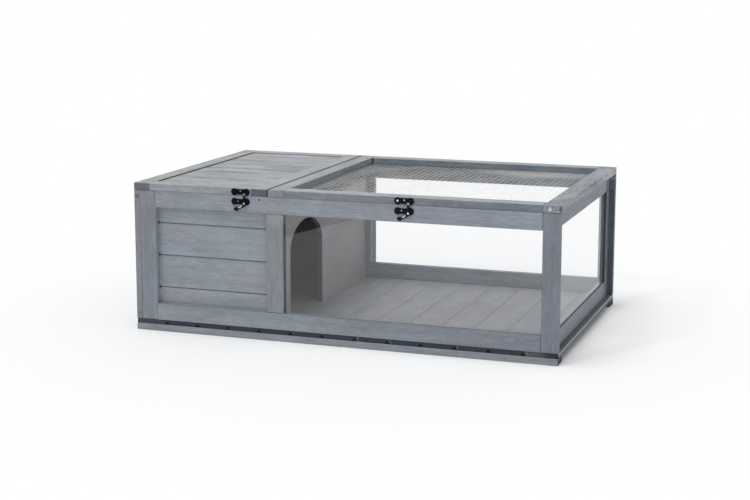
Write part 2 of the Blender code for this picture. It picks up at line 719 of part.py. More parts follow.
def add_latch(name, middle):
    """One latch: keeper plate on the lid, base plate and turning lever on the frame below."""
    plate = prism(latch_plate_outline(), FIT, PLATE_FRONT)
    keeper = add_piece(f"{name}_keeper", placed(plate, on_front(middle, KEEPER_Z)), "black_metal")
    stud_back, stud_neck = FIT + LATCH_PLATE_THICKNESS / 2, LEVER_FRONT + FIT
    stud_profile = [(0.0, stud_back), (STUD_RADIUS, stud_back),
                    (STUD_RADIUS, stud_neck), (STUD_HEAD_RADIUS, stud_neck),
                    (STUD_HEAD_RADIUS, stud_neck + STUD_HEAD / 2), (0.0, stud_neck + STUD_HEAD)]
    stud = placed(turned(stud_profile, RIVET_SIDES), on_front(middle + STUD_ASIDE, STUD_Z))
    combine(keeper, add_cutter(f"{name}_stud", stud), "UNION")

    base = add_piece(f"{name}_base", placed(plate, on_front(middle, LATCH_BASE_Z)), "black_metal")
    pivot = on_front(middle + PIVOT_ASIDE, PIVOT_Z)
    hole_radius = RIVET_RADIUS + FIT
    hole_profile = [(0.0, -OVERRUN), (hole_radius, -OVERRUN),
                    (hole_radius, LATCH_REACH), (0.0, LATCH_REACH)]
    hole = add_cutter(f"{name}_pivot_hole", placed(turned(hole_profile, RIVET_SIDES), pivot))
    lever = add_piece(f"{name}_lever", placed(prism(lever_outline(), LEVER_BACK, LEVER_FRONT), pivot),
                      "black_metal", origin=pivot @ Vector((0, 0, (LEVER_BACK + LEVER_FRONT) / 2)))
    knob_place = pivot @ Matrix.Translation((-LEVER_REACH, -LEVER_DROP, (LEVER_BACK + LEVER_FRONT) / 2))
    knob = add_cutter(f"{name}_knob", placed(knob_shape(), knob_place))
    combine(lever, knob, "UNION")
    cut(hole, (base, lever))
    hang(add_axis(f"{name}_axis", lever.location.copy()), [lever])

    out, up = RIVET_DOME_SHARES
    rivet_profile = [(0.0, FIT), (RIVET_RADIUS, FIT), (RIVET_RADIUS, BOSS_BACK),
                     (RIVET_BOSS_RADIUS, BOSS_BACK), (RIVET_BOSS_RADIUS, BOSS_FRONT),
                     (RIVET_RADIUS, BOSS_FRONT), (RIVET_RADIUS, RIVET_HEAD_BACK),
                     (RIVET_HEAD_RADIUS, RIVET_HEAD_BACK),
                     (RIVET_HEAD_RADIUS * out, RIVET_HEAD_BACK + RIVET_HEAD * up), (0.0, LATCH_REACH)]
    add_piece(f"{name}_rivet", placed(turned(rivet_profile, RIVET_SIDES), pivot), "black_metal", smooth=True)
    return keeper, base


def dome_screw():
    """A dome headed screw down -Z, its head sunk a little in the plate whose face is at zero."""
    out, up = DOME_SHARES
    return turned([(0.0, DOME_SCREW_HEAD), (DOME_SCREW_HEAD_RADIUS * out, DOME_SCREW_HEAD * up),
                   (DOME_SCREW_HEAD_RADIUS, -FIT), (DOME_SCREW_SHANK_RADIUS, -FIT),
                   (DOME_SCREW_SHANK_RADIUS, DOME_SCREW_POINT - DOME_SCREW_LENGTH),
                   (0.0, -DOME_SCREW_LENGTH)], SCREW_SIDES)


def dome_screw_hole():
    """The hole that a dome headed screw's shank fills."""
    shank = DOME_SCREW_SHANK_RADIUS + FIT
    return turned([(0.0, OVERRUN), (shank, OVERRUN), (shank, DOME_SCREW_POINT - DOME_SCREW_LENGTH),
                   (0.0, -DOME_SCREW_LENGTH - FIT)], SCREW_SIDES)


def screw_down(plate, bar, places):
    """Fix a plate to a bar: the screws are one body with the plate, and turn in holes in the bar."""
    for number, place in enumerate(places):
        combine(plate, add_cutter(f"{plate.name}_screw_{number}", placed(dome_screw(), place)), "UNION")
    holes = joined([placed(dome_screw_hole(), place) for place in places])
    cut(add_cutter(f"{plate.name}_screw_holes", holes), [bar])


def leaf_screw_places(middle, upward, height):
    """Where a leaf's screws go in, half way up its plate."""
    sign = 1 if upward else -1
    z = HINGE_Z + sign * (KNUCKLE_CLEAR + height) / 2
    y = BACK + FIT + LEAF_THICKNESS
    return [aimed((middle + share * HINGE_LENGTH, y, z), (0, 1, 0)) for share in LEAF_SCREW_SHARES]


def plate_screw_places(middle, z):
    """Where a latch plate's screws go in, one in each lobe."""
    return [aimed((middle + side * LOBE_ASIDE, FRONT - PLATE_FRONT, z), (0, -1, 0)) for side in (-1, 1)]


def add_lid_fittings(name, bars, rails, west, east, hinge_shares, latch_middle):
    """The hinges and the latch of one lid. Returns the pieces that the lid carries."""
    front_rail, rear_rail = rails
    carried = []
    for side, share in zip(("left", "right"), hinge_shares):
        middle = west + (east - west) * share
        lid_leaf = add_leaf(f"{name}_hinge_{side}_lid_leaf", middle, True, (1,), LID_LEAF_HEIGHT)
        screw_down(lid_leaf, bars["rear_rail"], leaf_screw_places(middle, True, LID_LEAF_HEIGHT))
        frame_leaf = add_leaf(f"{name}_hinge_{side}_frame_leaf", middle, False, (0, 2), LEAF_HEIGHT)
        screw_down(frame_leaf, rear_rail, leaf_screw_places(middle, False, LEAF_HEIGHT))
        add_piece(f"{name}_hinge_{side}_pin", hinge_pin(middle), "hinge_metal", smooth=True)
        carried.append(lid_leaf)
    keeper, base = add_latch(f"{name}_latch", latch_middle)
    screw_down(keeper, bars["front_rail"], plate_screw_places(latch_middle, KEEPER_Z))
    screw_down(base, front_rail, plate_screw_places(latch_middle, LATCH_BASE_Z))
    return carried + [keeper]


def build_house():
    """Make every piece of the house."""
    clear_scene()
    add_base()
    rails = add_walls()
    add_divider()
    lids = (
        ("house", add_house_lid(), LEFT, SPLIT - LID_GAP / 2, HOUSE_HINGE_SHARES, -HOUSE_LATCH_FROM_SPLIT),
        ("mesh", add_mesh_lid(), SPLIT + LID_GAP / 2, RIGHT, MESH_HINGE_SHARES, MESH_LATCH_FROM_SPLIT),
    )
    for name, (bars, cover), west, east, shares, latch_aside in lids:
        fittings = add_lid_fittings(name, bars, rails, west, east, shares, SPLIT + latch_aside)
        axis = add_axis(f"{name}_lid_axis", ((west + east) / 2, HINGE_Y, HINGE_Z))
        hang(axis, [*bars.values(), cover, *fittings])


build_house()
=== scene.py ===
"""Tortoise house, dressed: stained timber, clear windows, welded wire, black latches and bright screws.

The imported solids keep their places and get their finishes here. The wire net, its staples, the
latches and the wood screws are surfaces worked out from the frame. Metres, +Z up, latches face -Y.
"""

import math

import bmesh
import bpy
import numpy as np
from mathutils import Matrix, Vector


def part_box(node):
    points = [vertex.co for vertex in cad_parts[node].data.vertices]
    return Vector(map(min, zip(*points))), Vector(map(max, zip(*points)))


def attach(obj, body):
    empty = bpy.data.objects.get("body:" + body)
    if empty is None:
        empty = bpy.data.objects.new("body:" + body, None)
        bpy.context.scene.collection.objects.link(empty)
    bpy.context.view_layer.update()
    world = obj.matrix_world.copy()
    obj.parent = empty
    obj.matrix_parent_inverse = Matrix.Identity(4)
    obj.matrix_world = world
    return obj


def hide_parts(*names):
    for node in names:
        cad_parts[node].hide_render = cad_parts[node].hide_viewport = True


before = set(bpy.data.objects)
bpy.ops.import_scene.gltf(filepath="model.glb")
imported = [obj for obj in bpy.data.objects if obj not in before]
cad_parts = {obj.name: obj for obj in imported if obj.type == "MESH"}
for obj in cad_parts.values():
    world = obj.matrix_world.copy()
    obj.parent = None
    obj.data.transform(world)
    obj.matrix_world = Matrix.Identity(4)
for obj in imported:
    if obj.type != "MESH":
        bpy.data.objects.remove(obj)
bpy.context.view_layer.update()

# Camera at the photograph's angle
CAMERA_PLACE = (1.10958, -3.234971, 0.814637)
CAMERA_YAW = 0.336045
CAMERA_PITCH = 0.166834
CAMERA_ROLL = 0.000876
CAMERA_LENS = 73.962
CAMERA_SHIFT = -0.05
SENSOR_WIDTH = 36.0

# Light: a broad lamp, a small one for glints on metal, and the sky
SKY_STRENGTH = 0.54
SKY_TONE = (0.985, 0.992, 1.0)
LAMPS = {
    "studio_lamp": (1.5, 42.0, (-0.14, -0.2, 0.97)),
    "glint_lamp": (0.2, 3.5, (-0.42, -0.66, 0.62)),
}

# Floor, and the line on it past which the studio is dark in mirror images
FLOOR_TONE = (0.94, 0.942, 0.945)
FLOOR_REACH = 120.0
FLOOR_LEVEL = -0.0002
FLOOR_FADE = (0.42, 1.25)
DARK_SLOPE = 0.266
DARK_PLACE = 0.977

# Timber: mean tones of the stain, then what changes within a piece
FRONT_TONE = (0.292, 0.318, 0.357)
SIDE_TONE = (0.228, 0.256, 0.292)
TOP_TONE = (0.334, 0.343, 0.362)
BOARD_TONE = (0.3, 0.324, 0.358)
FLOOR_BOARD_TONE = (0.25, 0.256, 0.272)
RUNNER_TONE = (0.245, 0.262, 0.292)
DIVIDER_TONE = (0.345, 0.34, 0.348)
PALE_EDGE = (0.43, 0.42, 0.4)
BARE_WOOD = (0.45, 0.415, 0.365)
PAINTED_GLINT_TONE = (0.86, 0.88, 0.9)
PALE_STREAK = (0.8, 0.82, 0.85)
KNOT_SHARES = (0.52, 0.5, 0.5)
END_SHARES = (0.93, 0.98, 1.06)
RING_SPACING = 0.0036
CORE_DEPTH = 0.034
EDGE_WIDTH = 0.0009
JOINT_WIDTH = 0.0013
GRAIN_AXES = {"x": (0.0, 0.0, 0.0), "y": (0.0, 0.0, -math.pi / 2), "z": (0.0, math.pi / 2, 0.0)}
RIGHTWARD, LEFTWARD = (1.0, 0.0, 0.0), (-1.0, 0.0, 0.0)
BACKWARD, FORWARD = (0.0, 1.0, 0.0), (0.0, -1.0, 0.0)
UPWARD, DOWNWARD = (0.0, 0.0, 1.0), (0.0, 0.0, -1.0)
GRAIN_DIRECTIONS = {"x": (RIGHTWARD, LEFTWARD), "y": (BACKWARD, FORWARD), "z": (UPWARD, DOWNWARD)}

# Clear sheets: how strongly the front one and the others mirror, and the dust on them
FRONT_INDEX = 1.61
SIDE_INDEX = 1.22
DUST_TONE = (0.86, 0.88, 0.89)

# Wire net
WIRE_PITCH = (0.0136, 0.0156)
WIRE_RADIUS = 0.00027
WIRE_SIDES = 6
WIRE_BITE = 0.86
NET_SAG = 0.0007
NET_WAVE = 0.17
NET_STEPS = 40
NET_HELD = 0.012
NET_EASE = 0.05

# Staples that hold the net
STAPLE_RADIUS = 0.00045
STAPLE_CROWN = 0.0085
STAPLE_LEG = 0.0032
STAPLE_SPACING = 0.094
STAPLE_SIDES = 8
STAPLE_INSET = 0.0042

# Countersunk wood screws
SCREW_RADIUS = 0.0036
SCREW_RECESS = 0.0021
SCREW_PROUD = 0.00018
SCREW_DEPTH = 0.0026
SCREW_AROUND = 48
SCREW_RINGS = 16
SIDE_SCREW_INSETS = (0.012, 0.013)
LID_SCREW_INSET = 0.018
CORNER_SCREW_INSET = 0.022

# Hook latches
FIT = 0.0003
PLATE_THICKNESS = 0.0012
PLATE_ROUNDING = 0.0005
WAIST_SHARE = 0.766
LOBE_STEPS = 28
ROUND_STEPS = 5
PLATE_SCREW_RADIUS = 0.0024
PLATE_SCREW_DOME = 0.0009
STUD_PLACE = (0.00743, -0.0036)
STUD_PROFILE = ((0.0015, 0.0009), (0.0015, 0.006), (0.0023, 0.0062), (0.0025, 0.0066), (0.0021, 0.0071),
                (0.001, 0.0072))
RIVET_PROFILE = ((0.0016, 0.0004), (0.0016, 0.0018), (0.0026, 0.0018), (0.0026, 0.0034), (0.0016, 0.0034),
                 (0.0016, 0.0062), (0.0032, 0.0062), (0.0031, 0.0067), (0.0024, 0.0073), (0.0011, 0.0076))
LATHE_SIDES = 32
LEVER_BACK = 0.0037
LEVER_FRONT = 0.0059
LEVER_WIDTH = 0.0061
LEVER_RISE = 0.0225
LEVER_REACH = 0.018
LEVER_DROP = 0.0112
LEVER_STEPS = 8
LEVER_ROUNDING = 0.0009
KNOB_HALF = (0.006, 0.0044, 0.0022)
KNOB_RINGS = 14

# The lever's middle line from tip to pivot, then to the knob: aside, up or down, half its width
LEVER_ARM_SHARES = (
    (0.06, 1.0, 0.3), (0.055, 0.85, 0.38), (0.0, 0.62, 0.38), (-0.03, 0.38, 0.4), (0.0, 0.14, 0.52),
)
LEVER_TAIL_SHARES = (
    (-0.02, 0.16, 0.56), (-0.18, 0.42, 0.47), (-0.44, 0.68, 0.39), (-0.7, 0.87, 0.36), (-0.95, 1.0, 0.4),
)


class Recipe:
    """A material's nodes, added one at a time."""

    def __init__(self, name, world=None):
        self.material = world or bpy.data.materials.new(name)
        self.material.use_nodes = True
        self.tree = self.material.node_tree
        self.tree.nodes.clear()
        self.coordinates = self.add("TexCoord")
        self.place = self.coordinates.outputs["Object"]

    def add(self, kind, inputs=None, **settings):
        """Add a shader node, set what is given and link what comes from other nodes."""
        node = self.tree.nodes.new("ShaderNode" + kind)
        for key, value in settings.items():
            setattr(node, key, value)
        for socket, value in (inputs or {}).items():
            self.feed(node.inputs[socket], value)
        return node

    def feed(self, socket, value):
        """Link an output to a socket, or set the socket's own value."""
        if isinstance(value, bpy.types.NodeSocket):
            self.tree.links.new(value, socket)
        elif isinstance(value, tuple) and socket.type == "RGBA":
            socket.default_value = (*value, 1.0)
        else:
            socket.default_value = value

    def sum(self, operation, first, second=0.0, third=0.0):
        """One step of arithmetic."""
        node = self.add("Math", {0: first, 1: second, 2: third}, operation=operation)
        return node.outputs[0]

    def times(self, first, second):
        """One number times another."""
        return self.sum("MULTIPLY", first, second)

    def line(self, value, slope, start):
        """A value times a slope, plus a start."""
        return self.sum("MULTIPLY_ADD", value, slope, start)

    def vector(self, operation, first, second=(0.0, 0.0, 0.0)):
        """One step of arithmetic on vectors."""
        node = self.add("VectorMath", {0: first, 1: second}, operation=operation)
        return node.outputs["Value" if operation in ("DOT_PRODUCT", "LENGTH") else "Vector"]

    def parts(self, vector):
        """The three numbers of a vector."""
        return self.add("SeparateXYZ", {0: vector}).outputs

    def mix(self, share, first, second):
        """A share between two colours."""
        node = self.add("Mix", data_type="RGBA")
        for socket, value in ((0, share), (6, first), (7, second)):
            self.feed(node.inputs[socket], value)
        return node.outputs[2]

    def dim(self, colour, mask, shares):
        """Multiply a colour by shares, as far as a mask says."""
        return self.mix(mask, colour, self.vector("MULTIPLY", colour, shares))

    def ramp(self, value, low, high, start=0.0, end=1.0):
        """Carry a value smoothly from one range to another."""
        ranges = {"Value": value, "From Min": low, "From Max": high, "To Min": start, "To Max": end}
        return self.add("MapRange", ranges, interpolation_type="SMOOTHSTEP").outputs["Result"]

    def noise(self, vector, scales, detail=2.0, roughness=0.5):
        """Smooth noise, with a scale for each axis."""
        placed = self.vector("MULTIPLY", vector, scales)
        inputs = {"Vector": placed, "Scale": 1.0, "Detail": detail, "Roughness": roughness}
        return self.add("TexNoise", inputs).outputs["Fac"]

    def facing(self, direction):
        """One on faces that point a given way, nought on the others."""
        along = self.vector("DOT_PRODUCT", self.coordinates.outputs["Normal"], direction)
        return self.ramp(along, 0.55, 0.9)

    def surface(self, colour, roughness, height=None, strength=0.3, distance=0.001, **values):
        """The shader, with a bump where a height is given."""
        shader = self.add("BsdfPrincipled", {"Base Color": colour, "Roughness": roughness})
        for name, value in values.items():
            self.feed(shader.inputs[name.replace("_", " ")], value)
        if height is not None:
            bump = {"Height": height, "Strength": strength, "Distance": distance}
            self.feed(shader.inputs["Normal"], self.add("Bump", bump).outputs["Normal"])
        self.output(shader.outputs[0])
        return self.material

    def output(self, shader, kind="Material"):
        """The end of the material, or of the sky."""
        self.add(f"Output{kind}", {"Surface": shader})

    def rays(self):
        """One for rays that show the studio to the camera, straight, in a mirror image or through a
        sheet, and one for mirror images alone."""
        paths = self.add("LightPath").outputs
        mirrored = paths["Is Glossy Ray"]
        seen = self.sum("MAXIMUM", paths["Is Camera Ray"], mirrored)
        return self.sum("MAXIMUM", seen, paths["Is Transmission Ray"]), mirrored


def seeded(name):
    """Three numbers between nought and one that belong to a name."""
    total = sum((place + 1) * ord(letter) for place, letter in enumerate(name))
    return np.random.default_rng(total).random(3)


def scaled(tone, shares, most=0.95):
    """A tone times a share, or times a share for each colour."""
    shares = shares if isinstance(shares, tuple) else (shares, shares, shares)
    return tuple(min(value * share, most) for value, share in zip(tone, shares))


def face_distances(recipe, node):
    """How far inside a bar's box a point lies, along each axis."""
    low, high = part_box(node)
    middle, half = (low + high) / 2, (high - low) / 2
    offset = recipe.vector("SUBTRACT", recipe.place, tuple(middle))
    return recipe.parts(recipe.vector("SUBTRACT", tuple(half), recipe.vector("ABSOLUTE", offset)))


def edge_distance(recipe, parts):
    """How far a point on a bar is from its nearest edge: the middle one of the three distances."""
    smaller = recipe.sum("MINIMUM", parts[0], parts[1])
    larger = recipe.sum("MAXIMUM", parts[0], parts[1])
    return recipe.sum("MAXIMUM", smaller, recipe.sum("MINIMUM", larger, parts[2]))


def board_lines(recipe, across, start, pitch):
    """Three random numbers for each board, and how far a point is past the last joint and from the
    nearest one."""
    place = recipe.parts(recipe.place)[across]
    place = recipe.sum("DIVIDE", recipe.sum("SUBTRACT", place, start), pitch)
    random = recipe.add("TexWhiteNoise", {"W": recipe.sum("FLOOR", place)}, noise_dimensions="1D")
    share = recipe.sum("FRACT", place)
    gap = recipe.times(recipe.sum("MINIMUM", share, recipe.sum("SUBTRACT", 1.0, share)), pitch)
    return random.outputs, recipe.times(share, pitch), gap


def knot_masks(recipe, along, share):
    """Knots: cells drawn out along the grain, a few of which hold one. Near it, its rim and its core."""
    stretched = recipe.vector("MULTIPLY", along, (8.5, 16.0, 16.0))
    cells = recipe.add("TexVoronoi", {"Vector": stretched, "Scale": 1.0})
    lot = recipe.add("SeparateColor", {0: cells.outputs["Color"]}).outputs[0]
    here = recipe.sum("LESS_THAN", lot, 0.34 * share)
    distance = cells.outputs["Distance"]
    near = recipe.times(recipe.ramp(distance, 0.34, 0.05), here)
    outer = recipe.times(recipe.ramp(distance, 0.125, 0.095), here)
    core = recipe.times(recipe.ramp(distance, 0.085, 0.055), here)
    return near, recipe.sum("SUBTRACT", outer, recipe.times(core, 0.45)), core


def timber(node, grain, tone, boards=None, ends=0.45, painted_shades=(), knots=0.5, figure=1.0, chalk=0.0, spots=(),
           coarse=1.0, notches=False):
    """Softwood under a thin grey stain.

    Growth rings are the distance from a line beneath the face, bent by noise along the grain. Noise
    drawn out along the grain gives streaks, mottling and fibres, and slow noise turns the stain
    bluer or warmer. Painted shades dim the faces that point a given way, or lighten them as painted
    light, and spots are marks round a place.
    Coarse is how wide the streaks are.
    """
    recipe = Recipe(f"{node}_stained")
    first, second, third = seeded(node)
    place = recipe.place
    tone_shift, joint = 0.0, None
    if boards:
        *layout, reach, outward = boards
        random, past, gap = board_lines(recipe, *layout)
        joint = recipe.times(recipe.ramp(gap, reach, reach * 0.4), recipe.facing(outward))
        place = recipe.vector("ADD", place, recipe.vector("MULTIPLY", random["Color"], (3.0, 3.0, 3.0)))
        tone_shift = recipe.line(random["Value"], 0.12, -0.06)
    shift = (first * 4, 0.006 * (second - 0.5), -CORE_DEPTH - 0.02 * third)
    along = recipe.add("Mapping", {"Vector": place, "Rotation": GRAIN_AXES[grain]}).outputs[0]
    along = recipe.vector("ADD", along, shift)
    near_knot, knot_rim, knot_core = knot_masks(recipe, along, knots)

    bend = recipe.noise(along, (2.2, 9.0, 9.0), 2.0)
    parts = recipe.parts(along)
    radius = recipe.sum("SQRT", recipe.sum("ADD", recipe.sum("POWER", parts[1], 2.0),
                                           recipe.sum("POWER", parts[2], 2.0)))
    turns = recipe.line(radius, 1 / RING_SPACING, recipe.times(bend, 5.5))
    turns = recipe.line(near_knot, 2.6, turns)
    ring = recipe.sum("POWER", recipe.sum("FRACT", turns), 2.6)

    streak = recipe.noise(along, (2.2, 74.0 / coarse, 74.0 / coarse), 3.0, 0.55)
    mottle = recipe.noise(along, (58.0, 210.0, 210.0), 4.0, 0.62)
    blotch = recipe.noise(along, (9.0, 24.0, 24.0), 3.0, 0.6)
    fibre = recipe.noise(along, (26.0, 1150.0, 1150.0), 2.0, 0.7)
    pale_marks = recipe.noise(along, (5.0, 120.0 / coarse, 120.0 / coarse), 3.0, 0.6)

    light = recipe.sum("ADD", 1.0, tone_shift)
    for value, amount in ((streak, 0.42), (mottle, 0.62), (blotch, 0.5), (fibre, 0.3), (ring, -0.1)):
        centre = 0.28 if value is ring else 0.5
        light = recipe.line(recipe.sum("SUBTRACT", value, centre), amount * figure, light)
    colour = recipe.vector("MULTIPLY", tone, light)
    tint = recipe.sum("SUBTRACT", recipe.noise(along, (6.0, 20.0, 20.0), 2.0), 0.5)
    warm = recipe.line(tint, -0.2, 1.0)
    cool = recipe.line(tint, 0.16, 1.0)
    tinted = recipe.add("CombineXYZ", {0: warm, 1: 1.0, 2: cool})
    colour = recipe.vector("MULTIPLY", colour, tinted.outputs[0])

    chalky = recipe.times(recipe.ramp(pale_marks, 0.52, 0.7), 0.1 + chalk)
    colour = recipe.mix(chalky, colour, scaled(tone, (1.42, 1.38, 1.34)))
    if chalk:
        aside = recipe.vector("ADD", along, (7.0, 0.3, 0.2))
        dark_streak = recipe.noise(aside, (3.0, 105.0 / coarse, 105.0 / coarse), 3.0, 0.6)
        dark_streak = recipe.times(recipe.ramp(dark_streak, 0.54, 0.7), chalk)
        colour = recipe.dim(colour, dark_streak, (0.55, 0.57, 0.6))
    colour = recipe.dim(colour, recipe.times(near_knot, 0.5), (0.8, 0.8, 0.8))
    colour = recipe.dim(colour, knot_rim, KNOT_SHARES)

    end = recipe.sum("MAXIMUM", *(recipe.facing(direction) for direction in GRAIN_DIRECTIONS[grain]))
    if not boards:
        gaps = face_distances(recipe, node)
        # Pale rims along the edges: worn stain, with painted highlights along the edges as well
        rim = recipe.ramp(edge_distance(recipe, gaps), EDGE_WIDTH, 0.0)
        rim = recipe.times(rim, recipe.ramp(blotch, 0.42, 0.6, 0.08, 0.42))
        colour = recipe.mix(rim, colour, PALE_EDGE)
        joint = recipe.ramp(gaps["xyz".index(grain)], JOINT_WIDTH, 0.0)
        joint = recipe.times(joint, recipe.sum("SUBTRACT", 1.0, end))
        joint = recipe.times(joint, recipe.ramp(mottle, 0.36, 0.56, 0.25, 0.8))
    colour = recipe.dim(colour, joint, (0.4, 0.42, 0.46))
    colour = recipe.dim(colour, end, scaled(END_SHARES, ends))
    # Painted shade and painted light on faces, by the way they point
    for shade in painted_shades:
        colour = paint_facing_shade(recipe, colour, *shade)
    for mark in spots:
        colour = spot(recipe, colour, *mark)
    if notches:
        colour = notched_ends(recipe, colour, node, end, past, gap)

    height = recipe.line(ring, -0.5, recipe.times(fibre, 0.9))
    height = recipe.line(mottle, 0.5, height)
    height = recipe.line(knot_core, 0.5, height)
    roughness = recipe.line(streak, 0.22, 0.54)
    return recipe.surface(colour, roughness, height, 0.34, 0.0007, Specular_IOR_Level=0.3)


def notched_ends(recipe, colour, node, end, past, gap):
    """Where two boards meet at their ends: painted shade, black in the open joint's lower part, and a
    painted highlight on the flank beside it."""
    low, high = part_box(node)
    height = recipe.parts(recipe.place)[2]
    slope = recipe.line(gap, 1.3, height)
    notch = recipe.times(recipe.ramp(slope, low.z + 0.0098, low.z + 0.008), end)
    flank = recipe.times(recipe.ramp(past, 0.0042, 0.0056), recipe.ramp(past, 0.011, 0.007))
    patch = recipe.ramp(recipe.noise(recipe.place, (9.0, 9.0, 40.0)), 0.44, 0.62)
    colour = recipe.dim(colour, recipe.times(recipe.times(flank, end), patch), (2.7, 2.7, 2.5))
    return recipe.dim(colour, notch, (0.03, 0.03, 0.05))


def paint_facing_shade(recipe, colour, direction, share, limit=None):
    """Painted shade: dim the faces that point a given way, or lighten them as painted light where the
    share is above one, or only as far along one axis as the limit says.
    """
    mask = recipe.facing(direction)
    if limit:
        axis, start, end = limit
        place = recipe.parts(recipe.place)[axis]
        mask = recipe.times(mask, recipe.ramp(place, start, end))
    shares = share if isinstance(share, tuple) else (share * 0.97, share, share * 1.04)
    return recipe.dim(colour, mask, shares)


def spot(recipe, colour, place, flat, outer, inner, tone):
    """A mark about a place: full within its inner radius and gone at its outer one, seen along the
    axis that the flat shares leave out, its edge broken by noise."""
    offset = recipe.vector("MULTIPLY", recipe.vector("SUBTRACT", recipe.place, place), flat)
    ragged = recipe.line(recipe.noise(recipe.place, (420.0, 420.0, 420.0), 3.0), outer * 0.7, -outer * 0.35)
    distance = recipe.sum("ADD", recipe.vector("LENGTH", offset), ragged)
    return recipe.mix(recipe.ramp(distance, outer, inner, 0.0, 0.85), colour, tone)


def clear_sheet(name, index, haze_tone):
    """Clear plastic: mostly open, with a mirror layer on its outer faces that grows at low angles,
    fine wipe marks in its gloss and a trace of dust."""
    recipe = Recipe(name)
    place = recipe.place
    marks = recipe.noise(place, (18.0, 18.0, 42.0), 4.0, 0.6)
    dust = recipe.noise(place, (240.0, 240.0, 240.0), 3.0, 0.7)
    open_part = recipe.add("BsdfTransparent", {"Color": (0.992, 0.993, 0.995)})
    polish = recipe.ramp(marks, 0.3, 0.8, 0.005, 0.03)
    gloss = recipe.add("BsdfGlossy", {"Color": (0.97, 0.975, 0.98), "Roughness": polish})
    haze = recipe.add("BsdfDiffuse", {"Color": haze_tone})
    dust = recipe.ramp(dust, 0.45, 0.85, 0.008, 0.02)
    dusty = recipe.add("MixShader", {0: dust, 1: open_part.outputs[0], 2: haze.outputs[0]})
    mirror = recipe.add("Fresnel", {"IOR": index}).outputs[0]
    outside = recipe.sum("SUBTRACT", 1.0, recipe.add("NewGeometry").outputs["Backfacing"])
    share = recipe.times(mirror, outside)
    whole = recipe.add("MixShader", {0: share, 1: dusty.outputs[0], 2: gloss.outputs[0]})
    recipe.output(whole.outputs[0])
    return recipe.material


def plain_metal(name, tone, metallic, roughness, mottle, bump, specular=0.5, glint_places=()):
    """Metal or lacquer with a mottled, finely pitted skin, and painted glints of bright metal about some
    places.
    """
    recipe = Recipe(name)
    place = recipe.place
    patch = recipe.noise(place, (210.0, 210.0, 210.0), 4.0, 0.6)
    pits = recipe.noise(place, (1600.0, 1600.0, 1600.0), 2.0, 0.6)
    colour = recipe.mix(patch, scaled(tone, 1 - mottle, 1.0), scaled(tone, 1 + mottle, 1.0))
    # Painted glints: bright metal mixed in about each place, its edge broken by the mottle
    for spot_place, reach in glint_places:
        gap = recipe.vector("LENGTH", recipe.vector("SUBTRACT", place, spot_place))
        gap = recipe.sum("ADD", gap, recipe.ramp(patch, 0.25, 0.75, -0.3 * reach, 0.3 * reach))
        pale_marks = recipe.ramp(gap, reach * 1.35, reach * 0.45)
        colour = recipe.mix(pale_marks, colour, PAINTED_GLINT_TONE)
        metallic = recipe.sum("MAXIMUM", pale_marks, metallic)
    gloss = recipe.ramp(patch, 0.3, 0.7, roughness * 0.75, roughness * 1.3)
    return recipe.surface(colour, gloss, pits, bump, 0.0002, Metallic=metallic, Specular_IOR_Level=specular)


def dress(node, material):
    """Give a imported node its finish."""
    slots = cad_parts[node].data.materials
    slots.clear()
    slots.append(material)


def window_reveal_shade(direction, pane):
    """Painted shade on the outer part of a face that looks into a window opening, in front of the
    sheet."""
    low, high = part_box(pane)
    outer = {"right_window": (0, high.x, 1), "front_window": (1, low.y, -1), "rear_window": (1, high.y, 1)}
    axis, face, way = outer[pane]
    return direction, REVEAL_PAINTED_SHADE, (axis, face - way * REVEAL_FADE, face + way * REVEAL_FADE)


def dress_frames():
    """The four upright frames: posts, stiles and rails, with the grain along each."""
    inward = {"left_post": RIGHTWARD, "middle_post": RIGHTWARD, "right_post": LEFTWARD,
              "top_rail": DOWNWARD, "bottom_rail": UPWARD, "front_stile": BACKWARD, "rear_stile": FORWARD}
    for side in ("front", "rear"):
        for part, share in BAR_SHARES.items():
            node = f"{side}_{part}"
            # Painted shade in each window's reveal, except on the left post, which faces the boards
            painted_shades = [] if part == "left_post" else [window_reveal_shade(inward[part], f"{side}_window")]
            painted_shades += EXTRA_PAINTED_SHADES.get(node, [])
            spots = BAR_SPOTS.get(node, ())
            grain = "x" if part.endswith("rail") else "z"
            ends = REAR_ENDS if side == "rear" else 0.45
            dress(node, timber(node, grain, scaled(FRONT_TONE, share), ends=ends, painted_shades=painted_shades,
                               figure=0.95, spots=spots))
    for side in ("left", "right"):
        for part in ("front_stile", "rear_stile", "top_rail", "bottom_rail"):
            node = f"{side}_{part}"
            # Painted shade in the right window's reveal
            painted_shades = [window_reveal_shade(inward[part], "right_window")] if side == "right" else []
            grain = "y" if part.endswith("rail") else "z"
            tone = scaled(SIDE_TONE, STILE_SHARES.get(node, 1.0))
            dress(node, timber(node, grain, tone, painted_shades=painted_shades + EXTRA_PAINTED_SHADES.get(node, []), knots=1.0))


